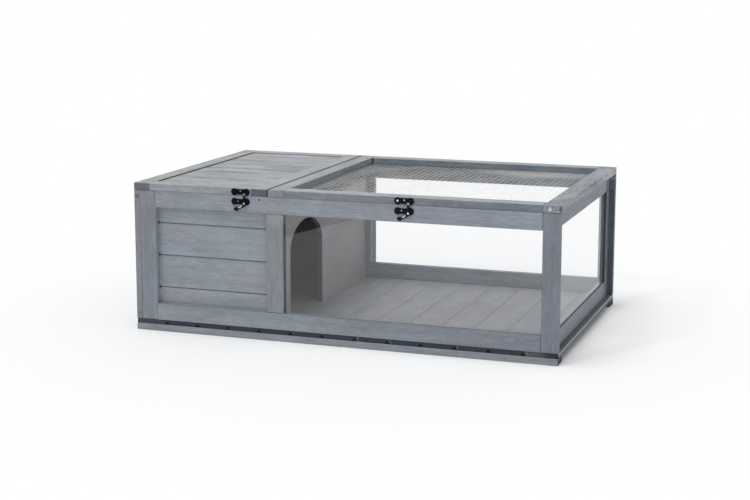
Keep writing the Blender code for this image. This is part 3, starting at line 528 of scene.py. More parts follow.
def dress_panels():
    """Boarded panels, the floor, the runners and the divider."""
    for node, grain, outward in (("front_boards", "x", FORWARD), ("rear_boards", "x", BACKWARD),
                                 ("left_boards", "y", LEFTWARD)):
        low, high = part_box(node)
        pitch = (high.z - low.z) / WALL_COUNT
        spots = ()
        if node == "front_boards":
            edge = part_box("front_left_post")[1].x
            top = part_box("front_top_rail")[0].z
            # Painted shade: dark corners where the joints meet the left post, and a painted shadow under the
            # top rail
            spots = [((edge, low.y, low.z + pitch * joint), (1.0, 0.0, 1.0), 0.0052, 0.0024, BOARD_CORNER_SHADE)
                     for joint in range(1, WALL_COUNT)]
            spots.append(((0.0, 0.0, top), (0.0, 0.0, 1.0), 0.004, 0.001, scaled(BOARD_TONE, 0.62)))
        boards = (2, low.z, pitch, WALL_GROOVE, outward)
        dress(node, timber(node, grain, BOARD_TONE, boards, knots=1.0, figure=0.85, spots=spots))
    low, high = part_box("floor_boards")
    boards = (0, low.x, (high.x - low.x) / FLOOR_COUNT, FLOOR_GROOVE, UPWARD)
    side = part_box("right_bottom_rail")[1].x
    level = (low.z + high.z) / 2
    # Painted shade on the floor's top strip outside the side frame and on the lower half of its right end,
    # and painted light on the rest of that end face
    painted_shades = [(UPWARD, 0.42, (0, side - 0.0006, side + 0.0006)), (RIGHTWARD, 1.3),
              (RIGHTWARD, 0.42, (2, level + 0.0016, level - 0.001))]
    dress("floor_boards", timber("floor_boards", "y", FLOOR_BOARD_TONE, boards, ends=FLOOR_ENDS,
                                 painted_shades=painted_shades, spots=FLOOR_SPOTS, notches=True))
    low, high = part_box("house_lid_boards")
    boards = (1, low.y + LID_BOARD_START, LID_BOARD_PITCH, LID_GROOVE, UPWARD)
    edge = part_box("house_lid_left_stile")[1].x
    # A painted shadow along the boards beside the left stile
    painted_shades = [(UPWARD, 0.14, (0, edge + 0.0046, edge + 0.0034))]
    dress("house_lid_boards", timber("house_lid_boards", "x", scaled(TOP_TONE, 0.94), boards, figure=1.9,
                                     chalk=0.9, coarse=2.6, painted_shades=painted_shades))
    # The runners' ends: dark end grain, darkened further by painted shade, and painted shade on the rear
    # runner's front face
    dress("front_runner", timber("front_runner", "x", RUNNER_TONE, ends=0.12))
    dress("rear_runner", timber("rear_runner", "x", RUNNER_TONE, ends=0.06, painted_shades=[(FORWARD, 0.4)]))
    # The cleats take a darker copy of the divider's tone, as painted shade
    for node in ("front_cleat", "rear_cleat"):
        dress(node, timber(node, "z", scaled(DIVIDER_TONE, 0.6)))
    # Painted shade on the divider's front-facing jamb and the arch's underside, and a painted shadow from
    # the lid along the top of its right face
    start, end = (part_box("divider")[1].z - below for below in DIVIDER_PAINTED_SHADOW)
    painted_shades = [(FORWARD, 0.62), (DOWNWARD, 0.6), (RIGHTWARD, (0.22, 0.23, 0.25), (2, start, end))]
    dress("divider", timber("divider", "y", DIVIDER_TONE, knots=0.0, figure=0.6, painted_shades=painted_shades))


def dress_lids():
    """Both lids' frames. Painted shade darkens the faces turned towards the opening, and a painted
    shadow lies along the seam of the two lids."""
    inward = {"left_stile": RIGHTWARD, "right_stile": LEFTWARD, "front_rail": BACKWARD, "rear_rail": FORWARD}
    seam = {"house_lid_right_stile": (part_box("house_lid_right_stile")[1].x, -1),
            "mesh_lid_left_stile": (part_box("mesh_lid_left_stile")[0].x, 1)}
    for node, (inner, ends) in LID_INWARD_SHADE_AND_ENDS.items():
        lid, part = node.split("_lid_")
        painted_shades = [(inward[part], inner)] + EXTRA_PAINTED_SHADES.get(node, [])
        # Painted shadow along the seam: on the top face beside it and on the side face that meets the other
        # lid
        if node in seam:
            edge, side = seam[node]
            painted_shades.append((UPWARD, 0.12, (0, edge + side * SEAM_WIDTH, edge + side * SEAM_WIDTH * 0.7)))
            painted_shades.append(((-side, 0.0, 0.0), 0.1))
        grain = "x" if part.endswith("rail") else "y"
        figure, coarse, chalk = LID_FIGURES.get(node, (1.4, 1.6, 0.26))
        dress(node, timber(node, grain, TOP_TONE, ends=ends, painted_shades=painted_shades, figure=figure, chalk=chalk,
                           coarse=coarse, spots=LID_SPOTS.get(node, ())))


def dress_fittings():
    """Windows and hinges."""
    front = clear_sheet("front_sheet_finish", FRONT_INDEX, DUST_TONE)
    side = clear_sheet("side_sheet_finish", SIDE_INDEX, DUST_TONE)
    for node, sheet in (("front_window", front), ("rear_window", side), ("right_window", side)):
        dress(node, sheet)
    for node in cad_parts:
        if "_hinge_" in node:
            dress(node, METALS["hinge"])


def add_piece(name, shells, material, body):
    """A new piece of one or more closed shells, its place in its mesh, riding on a body."""
    points, faces, start = [], [], 0
    for shell_points, shell_faces in shells:
        shell_points = shell_points.reshape(-1, 3)
        points.append(shell_points)
        faces += [[start + corner for corner in face] for face in shell_faces]
        start += len(shell_points)
    mesh = bpy.data.meshes.new(name)
    mesh.from_pydata(np.concatenate(points).tolist(), [], faces)
    build = bmesh.new()
    build.from_mesh(mesh)
    bmesh.ops.recalc_face_normals(build, faces=build.faces)
    build.to_mesh(mesh)
    build.free()
    mesh.materials.append(material)
    mesh.shade_smooth()
    mesh.set_sharp_from_angle(angle=math.radians(40.0))
    piece = bpy.data.objects.new(name, mesh)
    bpy.context.scene.collection.objects.link(piece)
    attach(piece, body)
    return piece


def tube_faces(count, rings, sides):
    """Faces of several tubes stacked one after another: a band of four-sided faces between each two
    rings, and one face over each end."""
    ring, side = np.meshgrid(np.arange(rings - 1), np.arange(sides), indexing="ij")
    after = (side + 1) % sides
    band = np.stack([ring * sides + side, ring * sides + after,
                     (ring + 1) * sides + after, (ring + 1) * sides + side], -1).reshape(-1, 4)
    starts = np.arange(count) * rings * sides
    bands = (band[None] + starts[:, None, None]).reshape(-1, 4)
    near = np.arange(sides)[::-1][None] + starts[:, None]
    far = np.arange(sides)[None] + (rings - 1) * sides + starts[:, None]
    return bands.tolist() + near.tolist() + far.tolist()


def tubes(paths, radius, sides, up):
    """Points of round wires along paths: a circle about each path point, square to the way that the
    path runs there. Paths is an array of wire, step and place."""
    ahead = np.gradient(paths, axis=1)
    ahead /= np.linalg.norm(ahead, axis=2, keepdims=True)
    aside = np.cross(ahead, np.broadcast_to(up, ahead.shape))
    aside /= np.linalg.norm(aside, axis=2, keepdims=True)
    over = np.cross(aside, ahead)
    angle = np.linspace(0.0, 2 * np.pi, sides, endpoint=False)[None, None, :, None]
    circle = np.cos(angle) * aside[:, :, None] + np.sin(angle) * over[:, :, None]
    return paths[:, :, None] + radius * circle


def net_height(x, y):
    """The net's gentle lie: two slow waves across each other, so that no stretch is quite flat."""
    wave = np.sin(x * 2 * np.pi / NET_WAVE + 0.6) * np.sin(y * 2 * np.pi / (NET_WAVE * 1.23) + 1.1)
    return NET_SAG * wave + 0.4 * NET_SAG * np.sin(x * 41.0 + y * 29.0)


def net_wires(axis, low, high):
    """The wires along one axis: straight lines a pitch apart, a little uneven, lifted by the net's lie
    away from the frame, and in the upper layer where they run front to back."""
    other = 1 - axis
    middle = (low + high) / 2
    half = [(high[i] - low[i]) / 2 - WIRE_RADIUS for i in (0, 1)]
    count = math.floor(half[other] / WIRE_PITCH[other])
    across = middle[other] + np.arange(-count, count + 1) * WIRE_PITCH[other]
    along = middle[axis] + np.linspace(-half[axis], half[axis], NET_STEPS * 2)
    grid_across, grid_along = np.meshgrid(across, along, indexing="ij")
    path = np.zeros((*grid_across.shape, 3))
    path[..., axis] = grid_along
    path[..., other] = grid_across + 0.00025 * np.sin(grid_along * 57.0 + grid_across * 900.0)
    edge = np.minimum(half[axis] - np.abs(grid_along - middle[axis]),
                      half[other] - np.abs(grid_across - middle[other]))
    free = np.clip((edge - NET_HELD) / NET_EASE, 0.0, 1.0)
    layer = axis * 2 * WIRE_RADIUS * WIRE_BITE
    path[..., 2] = low.z + 1.15 * WIRE_RADIUS + layer + free * net_height(path[..., 0], path[..., 1])
    return path


def add_net():
    """Square welded mesh: wires that run front to back lie on wires that run left to right, bitten
    into each other a little where they are welded."""
    low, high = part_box("wire_mesh")
    shells = []
    for axis in (0, 1):
        path = net_wires(axis, low, high)
        faces = tube_faces(path.shape[0], path.shape[1], WIRE_SIDES)
        shells.append((tubes(path, WIRE_RADIUS, WIRE_SIDES, UPWARD), faces))
    net = add_piece("welded_net", shells, METALS["wire"], "mesh_lid")
    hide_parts("wire_mesh")


def staple_path(middle, along, up):
    """A staple's middle line: a leg, a rounded corner, the crown, another corner and another leg."""
    corner = STAPLE_RADIUS * 2.2
    bend = np.linspace(0.0, np.pi / 2, 6)
    half = STAPLE_CROWN / 2
    first = np.stack([-half + corner - corner * np.cos(bend), -corner + corner * np.sin(bend)], -1)
    second = np.stack([half - corner + corner * np.sin(bend), -corner + corner * np.cos(bend)], -1)
    flat = np.concatenate([[[-half, -STAPLE_LEG]], first, second, [[half, -STAPLE_LEG]]])
    return middle + flat[:, :1] * along + flat[:, 1:] * up


def add_staples():
    """Wire staples that hold the net in its rebate, their crowns down and their legs in the timber."""
    low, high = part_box("wire_mesh")
    down = np.array(DOWNWARD)
    paths = []
    for axis in (0, 1):
        other = 1 - axis
        count = round((high[axis] - low[axis]) / STAPLE_SPACING)
        direction = np.eye(3)[axis]
        aside = np.array((-direction[1], direction[0], 0.0))
        for side in (low[other] + STAPLE_INSET, high[other] - STAPLE_INSET):
            for number in range(count):
                middle = np.full(3, low.z - STAPLE_RADIUS * 0.9)
                middle[axis] = low[axis] + (high[axis] - low[axis]) * (number + 0.5) / count
                middle[axis] += 0.004 * math.sin(7.0 * number + side * 90.0)
                middle[other] = side
                turn = 0.35 * math.sin(11.0 * number + side * 70.0)
                paths.append(staple_path(middle, direction * math.cos(turn) + aside * math.sin(turn), down))
    shells = []
    faces = tube_faces(1, len(paths[0]), STAPLE_SIDES)
    for path in paths:
        square = np.cross(path[-1] - path[0], down)
        square /= np.linalg.norm(square)
        shells.append((tubes(path[None], STAPLE_RADIUS, STAPLE_SIDES, square), faces))
    add_piece("net_staples", shells, METALS["wire"], "mesh_lid")


def screw_head(radius, dome, recess, depth):
    """A screw's head and neck from the middle of its face out: a crowned disc with a four-armed recess
    sunk by how near a point is to either arm's line, and a cone below."""
    out = np.concatenate([np.linspace(0.04, 1.0, SCREW_RINGS) * radius, [radius * 0.97, radius * 0.42]])
    angle = np.linspace(0.0, 2 * np.pi, SCREW_AROUND, endpoint=False)
    x = out[:, None] * np.cos(angle)
    y = out[:, None] * np.sin(angle)
    reach = np.hypot(x, y)
    arm = np.minimum(np.abs(x), np.abs(y))
    narrow = radius * (0.19 - 0.1 * np.clip(reach / recess, 0.0, 1.0))
    soft = radius * 0.06
    sunk = np.clip((narrow - arm) / soft, 0.0, 1.0) * np.clip((recess - reach) / soft, 0.0, 1.0)
    hole = sunk * np.clip(1.15 - reach / recess, 0.0, 1.0) * radius * 0.44
    z = dome * (1 - (reach / radius) ** 2) - hole
    z[SCREW_RINGS] = -radius * 0.07
    z[SCREW_RINGS + 1] = -depth
    return np.stack([x, y, z], -1)


def placed_heads(shape, places, outward, turn):
    """A screw head at each place, facing outward, each turned a little further than the one before."""
    facing = np.array(Vector(outward).to_track_quat("Z", "Y").to_matrix())
    faces = tube_faces(1, shape.shape[0], SCREW_AROUND)
    shells = []
    for number, place in enumerate(places):
        spin = np.array(Matrix.Rotation(turn + 1.3 * number, 3, "Z"))
        shells.append((shape @ (facing @ spin).T + np.array(place), faces))
    return shells


def add_screws(name, places, outward, material, body, turn=0.4):
    """Countersunk screws in one piece of timber, their faces a hair proud of it."""
    shape = screw_head(SCREW_RADIUS, 0.00012, SCREW_RECESS, SCREW_DEPTH)
    proud = [np.array(place) + SCREW_PROUD * np.array(outward) for place in places]
    add_piece(name, placed_heads(shape, proud, outward, turn), material, body)


def add_all_screws():
    """The wood screws that show: in the ends of the side frames, through the rails into the divider's
    cleats, and in the corners of both lids."""
    steel, bright, dull = (METALS[metal] for metal in ("screw", "bright", "dull"))
    low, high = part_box("left_front_stile")
    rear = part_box("left_rear_stile")[1].y
    middle = (low.x + high.x) / 2
    heights = (low.z + SIDE_SCREW_INSETS[0], high.z - SIDE_SCREW_INSETS[1])
    add_screws("left_front_screws", [(middle, low.y, z) for z in heights], FORWARD, dull, "house")
    add_screws("left_rear_screws", [(middle, rear, z) for z in heights], BACKWARD, dull, "house")
    low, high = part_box("front_cleat")
    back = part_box("rear_top_rail")[1].y
    add_screws("front_cleat_screw", [RAIL_SCREW], FORWARD, steel, "house")
    add_screws("rear_cleat_screw", [((low.x + high.x) / 2, back, RAIL_SCREW[2])], BACKWARD, steel, "house")
    low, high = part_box("house_lid_left_stile")
    level = (low.z + high.z) / 2
    places = [(low.x, y, level) for y in (low.y + LID_SCREW_INSET, high.y - LID_SCREW_INSET)]
    add_screws("house_lid_left_screws", places, LEFTWARD, dull, "house_lid")
    low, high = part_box("mesh_lid_right_stile")
    places = [(high.x, y, level) for y in (low.y + LID_SCREW_INSET, high.y - LID_SCREW_INSET)]
    add_screws("mesh_lid_right_screws", places, RIGHTWARD, dull, "mesh_lid")
    corner = (high.x - CORNER_SCREW_INSET, low.y, level)
    add_screws("mesh_lid_corner_screw", [corner], FORWARD, bright, "mesh_lid")


def plate_outline(length, lobe):
    """A plate's edge: an arc round each end, joined by a straight waist narrower than the arcs."""
    lean = math.asin(WAIST_SHARE)
    middle = length / 2 - lobe
    angle = np.linspace(lean, 2 * np.pi - lean, LOBE_STEPS)
    left = np.stack([-middle + lobe * np.cos(angle), lobe * np.sin(angle)], -1)
    return np.concatenate([left, -left])


def smooth_line(points, steps):
    """A curve through points: each stretch is the cubic whose slope at each end is half the step from
    the point before to the point after."""
    points = np.array(points)
    padded = np.concatenate([points[:1], points, points[-1:]])
    before, start, end, after = (padded[i:len(padded) - 3 + i, None] for i in range(4))
    t = (np.arange(steps) / steps)[None, :, None]
    curve = (2 * start + (end - before) * t + (2 * before - 5 * start + 4 * end - after) * t ** 2
             + (3 * start - before - 3 * end + after) * t ** 3) / 2
    return np.concatenate([curve.reshape(-1, points.shape[1]), points[-1:]])


def lever_shell():
    """The lever about its pivot: half its width to each side of a bent middle line that narrows to a
    round end, drawn in round a quarter circle at the front. Faces join the two sides point by point."""
    spine = [(x * LEVER_RISE, z * LEVER_RISE, half * LEVER_WIDTH) for x, z, half in LEVER_ARM_SHARES]
    spine += [(x * LEVER_REACH, -z * LEVER_DROP, half * LEVER_WIDTH) for x, z, half in LEVER_TAIL_SHARES]
    spine = smooth_line(spine, LEVER_STEPS)
    ahead = np.gradient(spine[:, :2], axis=0)
    ahead /= np.linalg.norm(ahead, axis=1, keepdims=True)
    run = np.concatenate([[0.0], np.cumsum(np.linalg.norm(np.diff(spine[:, :2], axis=0), axis=1))])
    left = np.clip(np.minimum(run, run[-1] - run) / spine[:, 2], 0.0, 1.0)
    half = spine[:, 2] * np.sqrt(0.03 + 0.97 * left * (2 - left))
    square = np.stack([-ahead[:, 1], ahead[:, 0]], -1) * half[:, None]
    angle = np.linspace(0.0, np.pi / 2, ROUND_STEPS)
    share = np.concatenate([[0.85, 1.0], 1.0 - 0.4 * (1 - np.cos(angle)), [0.2]])
    curve = LEVER_FRONT - LEVER_ROUNDING * (1 - np.sin(angle))
    level = np.concatenate([[LEVER_BACK, LEVER_BACK + 0.0003], curve, [LEVER_FRONT + 0.0001]])
    middle = spine[None, :, :2]
    sides = share[:, None, None] * square[None]
    outline = np.concatenate([middle + sides, (middle - sides)[:, ::-1]], axis=1)
    heights = np.broadcast_to(level[:, None, None], (*outline.shape[:2], 1))
    count = len(spine)
    step = np.arange(count - 1)
    strip = np.stack([step, step + 1, 2 * count - 2 - step, 2 * count - 1 - step], -1)
    faces = tube_faces(1, len(level), 2 * count)[:-2] + strip[:, ::-1].tolist()
    faces += (strip + (len(level) - 1) * 2 * count).tolist()
    return np.concatenate([outline, heights], -1), faces


def rounded_slab(outline, back, front, rounding):
    """A flat shape with thickness: its edge carried from back to front, then drawn in along its own
    normals round a quarter circle at the front."""
    ahead = np.roll(outline, -1, axis=0) - np.roll(outline, 1, axis=0)
    ahead /= np.linalg.norm(ahead, axis=1, keepdims=True)
    inward = np.stack([-ahead[:, 1], ahead[:, 0]], -1)
    area = np.sum(outline[:, 0] * np.roll(outline[:, 1], -1) - outline[:, 1] * np.roll(outline[:, 0], -1))
    inward *= np.sign(area)
    angle = np.linspace(0.0, np.pi / 2, ROUND_STEPS)
    inset = np.concatenate([[rounding * 0.4, 0.0], rounding * (1 - np.cos(angle)), [rounding * 1.3]])
    curve = front - rounding + rounding * np.sin(angle)
    level = np.concatenate([[back, back + rounding * 0.4], curve, [front]])
    flat = outline[None] + inset[:, None, None] * inward[None]
    heights = np.broadcast_to(level[:, None, None], (*flat.shape[:2], 1))
    return np.concatenate([flat, heights], -1), tube_faces(1, len(level), len(outline))


def turned(profile):
    """A profile of radius and height carried round an axis."""
    profile = np.array(profile)
    angle = np.linspace(0.0, 2 * np.pi, LATHE_SIDES, endpoint=False)
    x = profile[:, :1] * np.cos(angle)
    y = profile[:, :1] * np.sin(angle)
    points = np.stack([x, y, np.broadcast_to(profile[:, 1:], x.shape)], -1)
    return points, tube_faces(1, len(profile), LATHE_SIDES)


def knob():
    """The flattened oval thumb piece: an ellipsoid by its latitude and longitude."""
    latitude = np.linspace(-0.49, 0.49, KNOB_RINGS) * np.pi
    points, faces = turned(np.stack([np.cos(latitude), np.sin(latitude)], -1))
    middle = (-LEVER_REACH, -LEVER_DROP, (LEVER_BACK + LEVER_FRONT) / 2)
    return points * np.array(KNOB_HALF) + np.array(middle), faces


def on_front(shell, x, z):
    """Carry a shell from its own axes, with Z outwards, to a place on the front face."""
    points, faces = shell
    points = points.reshape(-1, 3)
    return np.stack([x + points[:, 0], RAIL_LOW.y - points[:, 2], z + points[:, 1]], -1), faces


def plate_shells(node, x, z):
    """A latch plate with its two dome headed screws."""
    low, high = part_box(node)
    lobe = (high.z - low.z) / 2
    top = FIT + PLATE_THICKNESS
    outline = plate_outline(high.x - low.x, lobe)
    head = screw_head(PLATE_SCREW_RADIUS, PLATE_SCREW_DOME, PLATE_SCREW_RADIUS * 0.62, top)
    faces = tube_faces(1, head.shape[0], SCREW_AROUND)
    shells = [on_front(rounded_slab(outline, FIT, top, PLATE_ROUNDING), x, z)]
    aside = (high.x - low.x) / 2 - lobe
    for number, place in enumerate((-aside, aside)):
        spin = np.array(Matrix.Rotation(0.5 + 0.9 * number, 3, "Z"))
        shells.append(on_front((head @ spin.T + (place, 0.0, top + 0.0001), faces), x, z))
    return shells


def add_latch(name, lid, pale_marks):
    """One hook latch: a keeper plate with its stud, a base plate, a lever with its thumb piece and the
    rivet that it turns on. The places given carry painted glints of bright metal."""
    low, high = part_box(f"{name}_rivet")
    pivot = (low + high) / 2
    glint_places = [((pivot.x + aside, RAIL_LOW.y - out, pivot.z + up), reach) for aside, out, up, reach in pale_marks]
    black = plain_metal(f"{name}_lacquer", *LACQUER, glint_places=glint_places)
    low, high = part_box(f"{name}_keeper")
    x, z = (low.x + high.x) / 2, (low.z + high.z) / 2
    stud = on_front(turned(STUD_PROFILE), x + STUD_PLACE[0], z + STUD_PLACE[1])
    shells = plate_shells(f"{name}_keeper", x, z) + [stud]
    keeper = add_piece(f"{name}_keeper_plate", shells, black, lid)
    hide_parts(f"{name}_keeper")
    low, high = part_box(f"{name}_base")
    z = (low.z + high.z) / 2
    base = add_piece(f"{name}_base_plate", plate_shells(f"{name}_base", x, z), black, "house")
    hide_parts(f"{name}_base")
    x, z = pivot.x, pivot.z
    rivet = add_piece(f"{name}_pivot", [on_front(turned(RIVET_PROFILE), x, z)], black, "house")
    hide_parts(f"{name}_rivet")
    shells = [on_front(lever_shell(), x, z), on_front(knob(), x, z)]
    lever = add_piece(f"{name}_hook", shells, black, f"{name}_lever")
    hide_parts(f"{name}_lever")


def add_floor():
    """A pale floor. It takes the object's shadow near it and runs out to plain white. In mirror images
    it is dark past a line, as a studio is beyond its lit sweep."""
    signs = ((-1, -1), (1, -1), (1, 1), (-1, 1))
    corners = [(x * FLOOR_REACH, y * FLOOR_REACH, FLOOR_LEVEL) for x, y in signs]
    mesh = bpy.data.meshes.new("floor")
    mesh.from_pydata(corners, [], [(0, 1, 2, 3)])
    floor = bpy.data.objects.new("floor", mesh)
    bpy.context.scene.collection.objects.link(floor)
    recipe = Recipe("pale_floor")
    seen, mirrored = recipe.rays()
    parts = recipe.parts(recipe.place)
    past = recipe.sum("ADD", recipe.line(parts[1], DARK_SLOPE, DARK_PLACE), parts[0])
    unlit = recipe.times(recipe.ramp(past, 0.008, -0.008), mirrored)
    grain = recipe.noise(recipe.place, (30.0, 30.0, 30.0), 3.0)
    tone = recipe.mix(grain, scaled(FLOOR_TONE, 0.995), FLOOR_TONE)
    paper = recipe.add("BsdfDiffuse", {"Color": recipe.mix(unlit, tone, (0.0, 0.0, 0.0))})
    white = recipe.add("Emission", {"Color": recipe.mix(unlit, (1.0, 1.0, 1.0), (0.0, 0.0, 0.0))})
    away = recipe.ramp(recipe.vector("LENGTH", recipe.place), *FLOOR_FADE)
    whole = recipe.add("MixShader", {0: recipe.times(seen, away), 1: paper.outputs[0], 2: white.outputs[0]})
    recipe.output(whole.outputs[0])
    mesh.materials.append(recipe.material)


def light_studio():
    """The lamps, and an even sky that cameras and mirror images see as white."""
    for name, (strength, angle, source) in LAMPS.items():
        lamp = bpy.data.lights.new(name, "SUN")
        lamp.energy = strength
        lamp.angle = math.radians(angle)
        holder = bpy.data.objects.new(name, lamp)
        holder.rotation_euler = Vector(source).to_track_quat("Z", "Y").to_euler()
        bpy.context.scene.collection.objects.link(holder)
    world = bpy.data.worlds.new("studio_sky")
    recipe = Recipe("studio_sky", world)
    white = recipe.add("Background", {"Color": (1.0, 1.0, 1.0), "Strength": 1.0})
    soft = recipe.add("Background", {"Color": SKY_TONE, "Strength": SKY_STRENGTH})
    seen, _ = recipe.rays()
    blend = recipe.add("MixShader", {0: seen, 1: soft.outputs[0], 2: white.outputs[0]})
    recipe.output(blend.outputs[0], "World")
    bpy.context.scene.world = world


def place_camera():
    """The camera, from its place and its three angles."""
    yaw, pitch, roll = CAMERA_YAW, CAMERA_PITCH, CAMERA_ROLL
    ahead = Vector((-math.sin(yaw) * math.cos(pitch), math.cos(yaw) * math.cos(pitch), -math.sin(pitch)))
    level = Vector((math.cos(yaw), math.sin(yaw), 0.0))
    upright = level.cross(ahead)
    right = math.cos(roll) * level + math.sin(roll) * upright
    up = math.cos(roll) * upright - math.sin(roll) * level
    data = bpy.data.cameras.new("camera")
    data.sensor_width = SENSOR_WIDTH
    data.lens = CAMERA_LENS
    data.shift_y = CAMERA_SHIFT
    data.clip_end = 4 * FLOOR_REACH
    camera = bpy.data.objects.new("camera", data)
    matrix = Matrix((right, up, -ahead)).transposed().to_4x4()
    matrix.translation = CAMERA_PLACE
    camera.matrix_world = matrix
    bpy.context.scene.collection.objects.link(camera)
    bpy.context.scene.camera = camera


# How the tone varies from piece to piece
BAR_SHARES = {"left_post": 0.79, "middle_post": (0.8, 0.8, 0.785), "right_post": (0.66, 0.69, 0.72),
              "top_rail": 0.97, "bottom_rail": 0.9}
STILE_SHARES = {"left_front_stile": (1.08, 0.98, 0.89), "right_rear_stile": 0.64}
REAR_ENDS = 0.34
# Painted shade on the outer part of faces that look into a window: its share, and how far it fades
REVEAL_PAINTED_SHADE = 0.32
REVEAL_FADE = 0.0004

# For each bar of the lids: the share of painted shade left on its inward face, and the share on its end
# grain
LID_INWARD_SHADE_AND_ENDS = {
    "house_lid_left_stile": (0.16, 0.5), "house_lid_right_stile": (0.7, (0.3, 0.34, 0.4)),
    "house_lid_front_rail": (0.7, 0.6), "house_lid_rear_rail": (0.52, 0.6),
    "mesh_lid_left_stile": ((0.62, 0.67, 0.73), 0.74), "mesh_lid_right_stile": (0.62, 0.86),
    "mesh_lid_front_rail": (0.6, 0.6), "mesh_lid_rear_rail": ((0.56, 0.64, 0.71), 0.6),
}
SEAM_WIDTH = 0.0036

# The mesh lid's right stile is mottled more than the rest: strength, width and chalkiness
LID_FIGURES = {"mesh_lid_right_stile": (3.0, 2.0, 0.06)}

# Boards: how far each side of a joint the stain lies thick, and where the lid's boards start
WALL_GROOVE = 0.0024
FLOOR_GROOVE = 0.001
LID_GROOVE = 0.0012
WALL_COUNT = 4
FLOOR_COUNT = 13
# The floor's board ends: dark end grain, darkened further by painted shade for their recess
FLOOR_ENDS = (0.155, 0.18, 0.215)
LID_BOARD_START = 0.0335 - 0.073
LID_BOARD_PITCH = 0.073
# Painted shade in the corners where the front boards' joints meet the left post
BOARD_CORNER_SHADE = scaled(BOARD_TONE, 0.2)

# How far below its top the painted shadow on the divider's right face starts and is full
DIVIDER_PAINTED_SHADOW = (0.053, 0.03)

# Marks: the screw in the top rail in its ring of bare wood, pale and dark patches, and a knot hole at
# the mesh lid's corner. Each is its place, the axes it is measured along, its radii and its tone
RAIL_LOW, RAIL_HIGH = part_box("front_top_rail")
RAIL_SCREW = (-0.1755, RAIL_LOW.y, RAIL_HIGH.z - 0.0071)
REAR_LOW, REAR_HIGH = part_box("rear_top_rail")
STREAK_PLACE = (0.3, REAR_LOW.y, REAR_HIGH.z - 0.008)
POST_LOW, POST_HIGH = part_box("front_middle_post")
POST_TOP = ((POST_LOW.x + POST_HIGH.x) / 2, POST_LOW.y, RAIL_LOW.z - 0.006)
BAR_SPOTS = {
    "front_middle_post": ((POST_TOP, (1.0, 0.0, 1.0), 0.03, 0.008, scaled(FRONT_TONE, (1.08, 0.97, 0.92))),),
    "front_top_rail": ((RAIL_SCREW, (1.0, 0.0, 1.0), 0.0086, 0.0034, BARE_WOOD),),
    "rear_top_rail": ((STREAK_PLACE, (0.055, 1.0, 1.0), 0.0115, 0.003, PALE_STREAK),),
}
FLOOR_LOW, FLOOR_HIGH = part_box("floor_boards")
FLOOR_SPOTS = (
    ((FLOOR_LOW.x + 0.03, FLOOR_LOW.y, 0.0), (1.0, 3.0, 0.0), 0.048, 0.034, (0.067, 0.067, 0.086)),
    ((FLOOR_HIGH.x - 0.05, FLOOR_LOW.y, 0.0), (1.0, 3.0, 0.0), 0.03, 0.01, (0.095, 0.118, 0.118)),
)
LID_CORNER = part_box("mesh_lid_right_stile")
CORNER_PLACE = (LID_CORNER[1].x, LID_CORNER[0].y + 0.004, (LID_CORNER[0].z + LID_CORNER[1].z) / 2)
REAR_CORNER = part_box("mesh_lid_rear_rail")[0]
LID_SPOTS = {
    "mesh_lid_right_stile": ((CORNER_PLACE, (1.0, 1.0, 1.0), 0.0076, 0.0048, scaled(TOP_TONE, 0.17)),),
    "mesh_lid_rear_rail": ((tuple(REAR_CORNER), (1.0, 1.0, 0.0), 0.0042, 0.0024, scaled(TOP_TONE, 0.08)),),
}

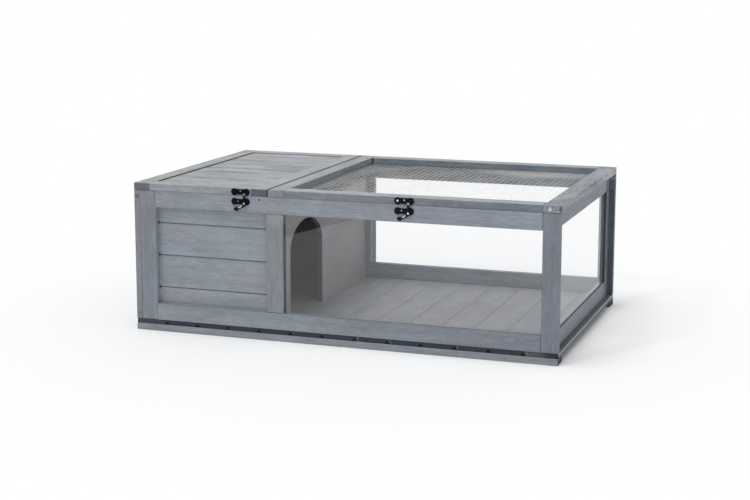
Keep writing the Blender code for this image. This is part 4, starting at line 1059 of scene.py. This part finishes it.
# Further painted shade and painted light: faces darkened as if in the shade of their neighbours or
# lightened as if lit, thin pale and dark lines, and faces darker along part of a bar or near its top
STILE_LOW, STILE_HIGH = (corner.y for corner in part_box("right_rear_stile"))
EXTRA_PAINTED_SHADES = {
    "front_middle_post": [(RIGHTWARD, 0.12)],
    "front_left_post": [(RIGHTWARD, 1.4)],
    "front_bottom_rail": [(FORWARD, 0.8, (0, -0.3, 0.45))],
    "front_top_rail": [(FORWARD, 0.96, (0, -0.2, 0.45))],
    "rear_top_rail": [(FORWARD, 0.5)],
    "rear_middle_post": [(FORWARD, (1.34, 1.32, 1.3)), (FORWARD, 2.2, (0, -0.129, -0.1282)),
                         (FORWARD, 0.46, (0, -0.1266, -0.1258)), (FORWARD, 0.18, (2, 0.215, 0.24))],
    "rear_right_post": [(FORWARD, 0.5, (0, 0.457, 0.459)), (RIGHTWARD, 0.8)],
    "mesh_lid_front_rail": [(FORWARD, (0.6, 0.64, 0.69)), (FORWARD, (0.86, 0.91, 0.94), (0, 0.2, 0.36))],
    "mesh_lid_left_stile": [(UPWARD, (0.93, 0.915, 0.89))],
    "mesh_lid_right_stile": [(UPWARD, 0.78), (RIGHTWARD, (0.92, 0.94, 0.97))],
    "right_top_rail": [(RIGHTWARD, (1.13, 1.08, 1.07))],
    "right_rear_stile": [(RIGHTWARD, 0.5, (1, STILE_LOW + 0.0065, STILE_LOW + 0.0045)),
                         (RIGHTWARD, 0.4, (1, STILE_HIGH - 0.0065, STILE_HIGH - 0.0045))],
    "house_lid_front_rail": [(FORWARD, 0.89)],
}

# Black lacquer, and the painted glints of bright metal about each lever's pivot: aside, out, up and reach
LACQUER = ((0.006, 0.006, 0.008), 0.0, 0.2, 0.25, 0.08, 0.14)
PAINTED_GLINT_PLACES = (
    (0.0006, 0.0064, 0.0205, 0.0023), (0.0004, 0.0076, 0.0006, 0.002),
    (-0.0056, 0.006, -0.0046, 0.0012), (-0.0076, 0.006, -0.006, 0.0014),
    (-0.0096, 0.006, -0.0071, 0.0014), (-0.0114, 0.006, -0.008, 0.0012),
    (-0.0096, 0.0017, 0.0268, 0.0016), (-0.015, 0.0017, 0.005, 0.0014),
)

# One of the mesh latch's screws carries a painted glint too
PAINTED_GLINT_SCREW = ((-0.0237, 0.0024, 0.0256, 0.0022),)

METALS = {
    "hinge": plain_metal("hinge_nickel", (0.58, 0.57, 0.54), 1.0, 0.34, 0.12, 0.15),
    "wire": plain_metal("bright_zinc", (0.9, 0.93, 0.97), 0.75, 0.34, 0.46, 0.1),
    "screw": plain_metal("screw_zinc", (0.3, 0.27, 0.23), 1.0, 0.34, 0.08, 0.08),
    "bright": plain_metal("bright_screw", (0.76, 0.76, 0.75), 1.0, 0.26, 0.05, 0.05),
    "dull": plain_metal("stained_screw", (0.2, 0.2, 0.19), 1.0, 0.5, 0.2, 0.15),
}

bpy.context.scene.view_settings.view_transform = "Standard"
place_camera()
light_studio()
add_floor()
dress_frames()
dress_panels()
dress_lids()
dress_fittings()
add_net()
add_staples()
add_all_screws()
add_latch("house_latch", "house_lid", PAINTED_GLINT_PLACES)
add_latch("mesh_latch", "mesh_lid", PAINTED_GLINT_PLACES + PAINTED_GLINT_SCREW)
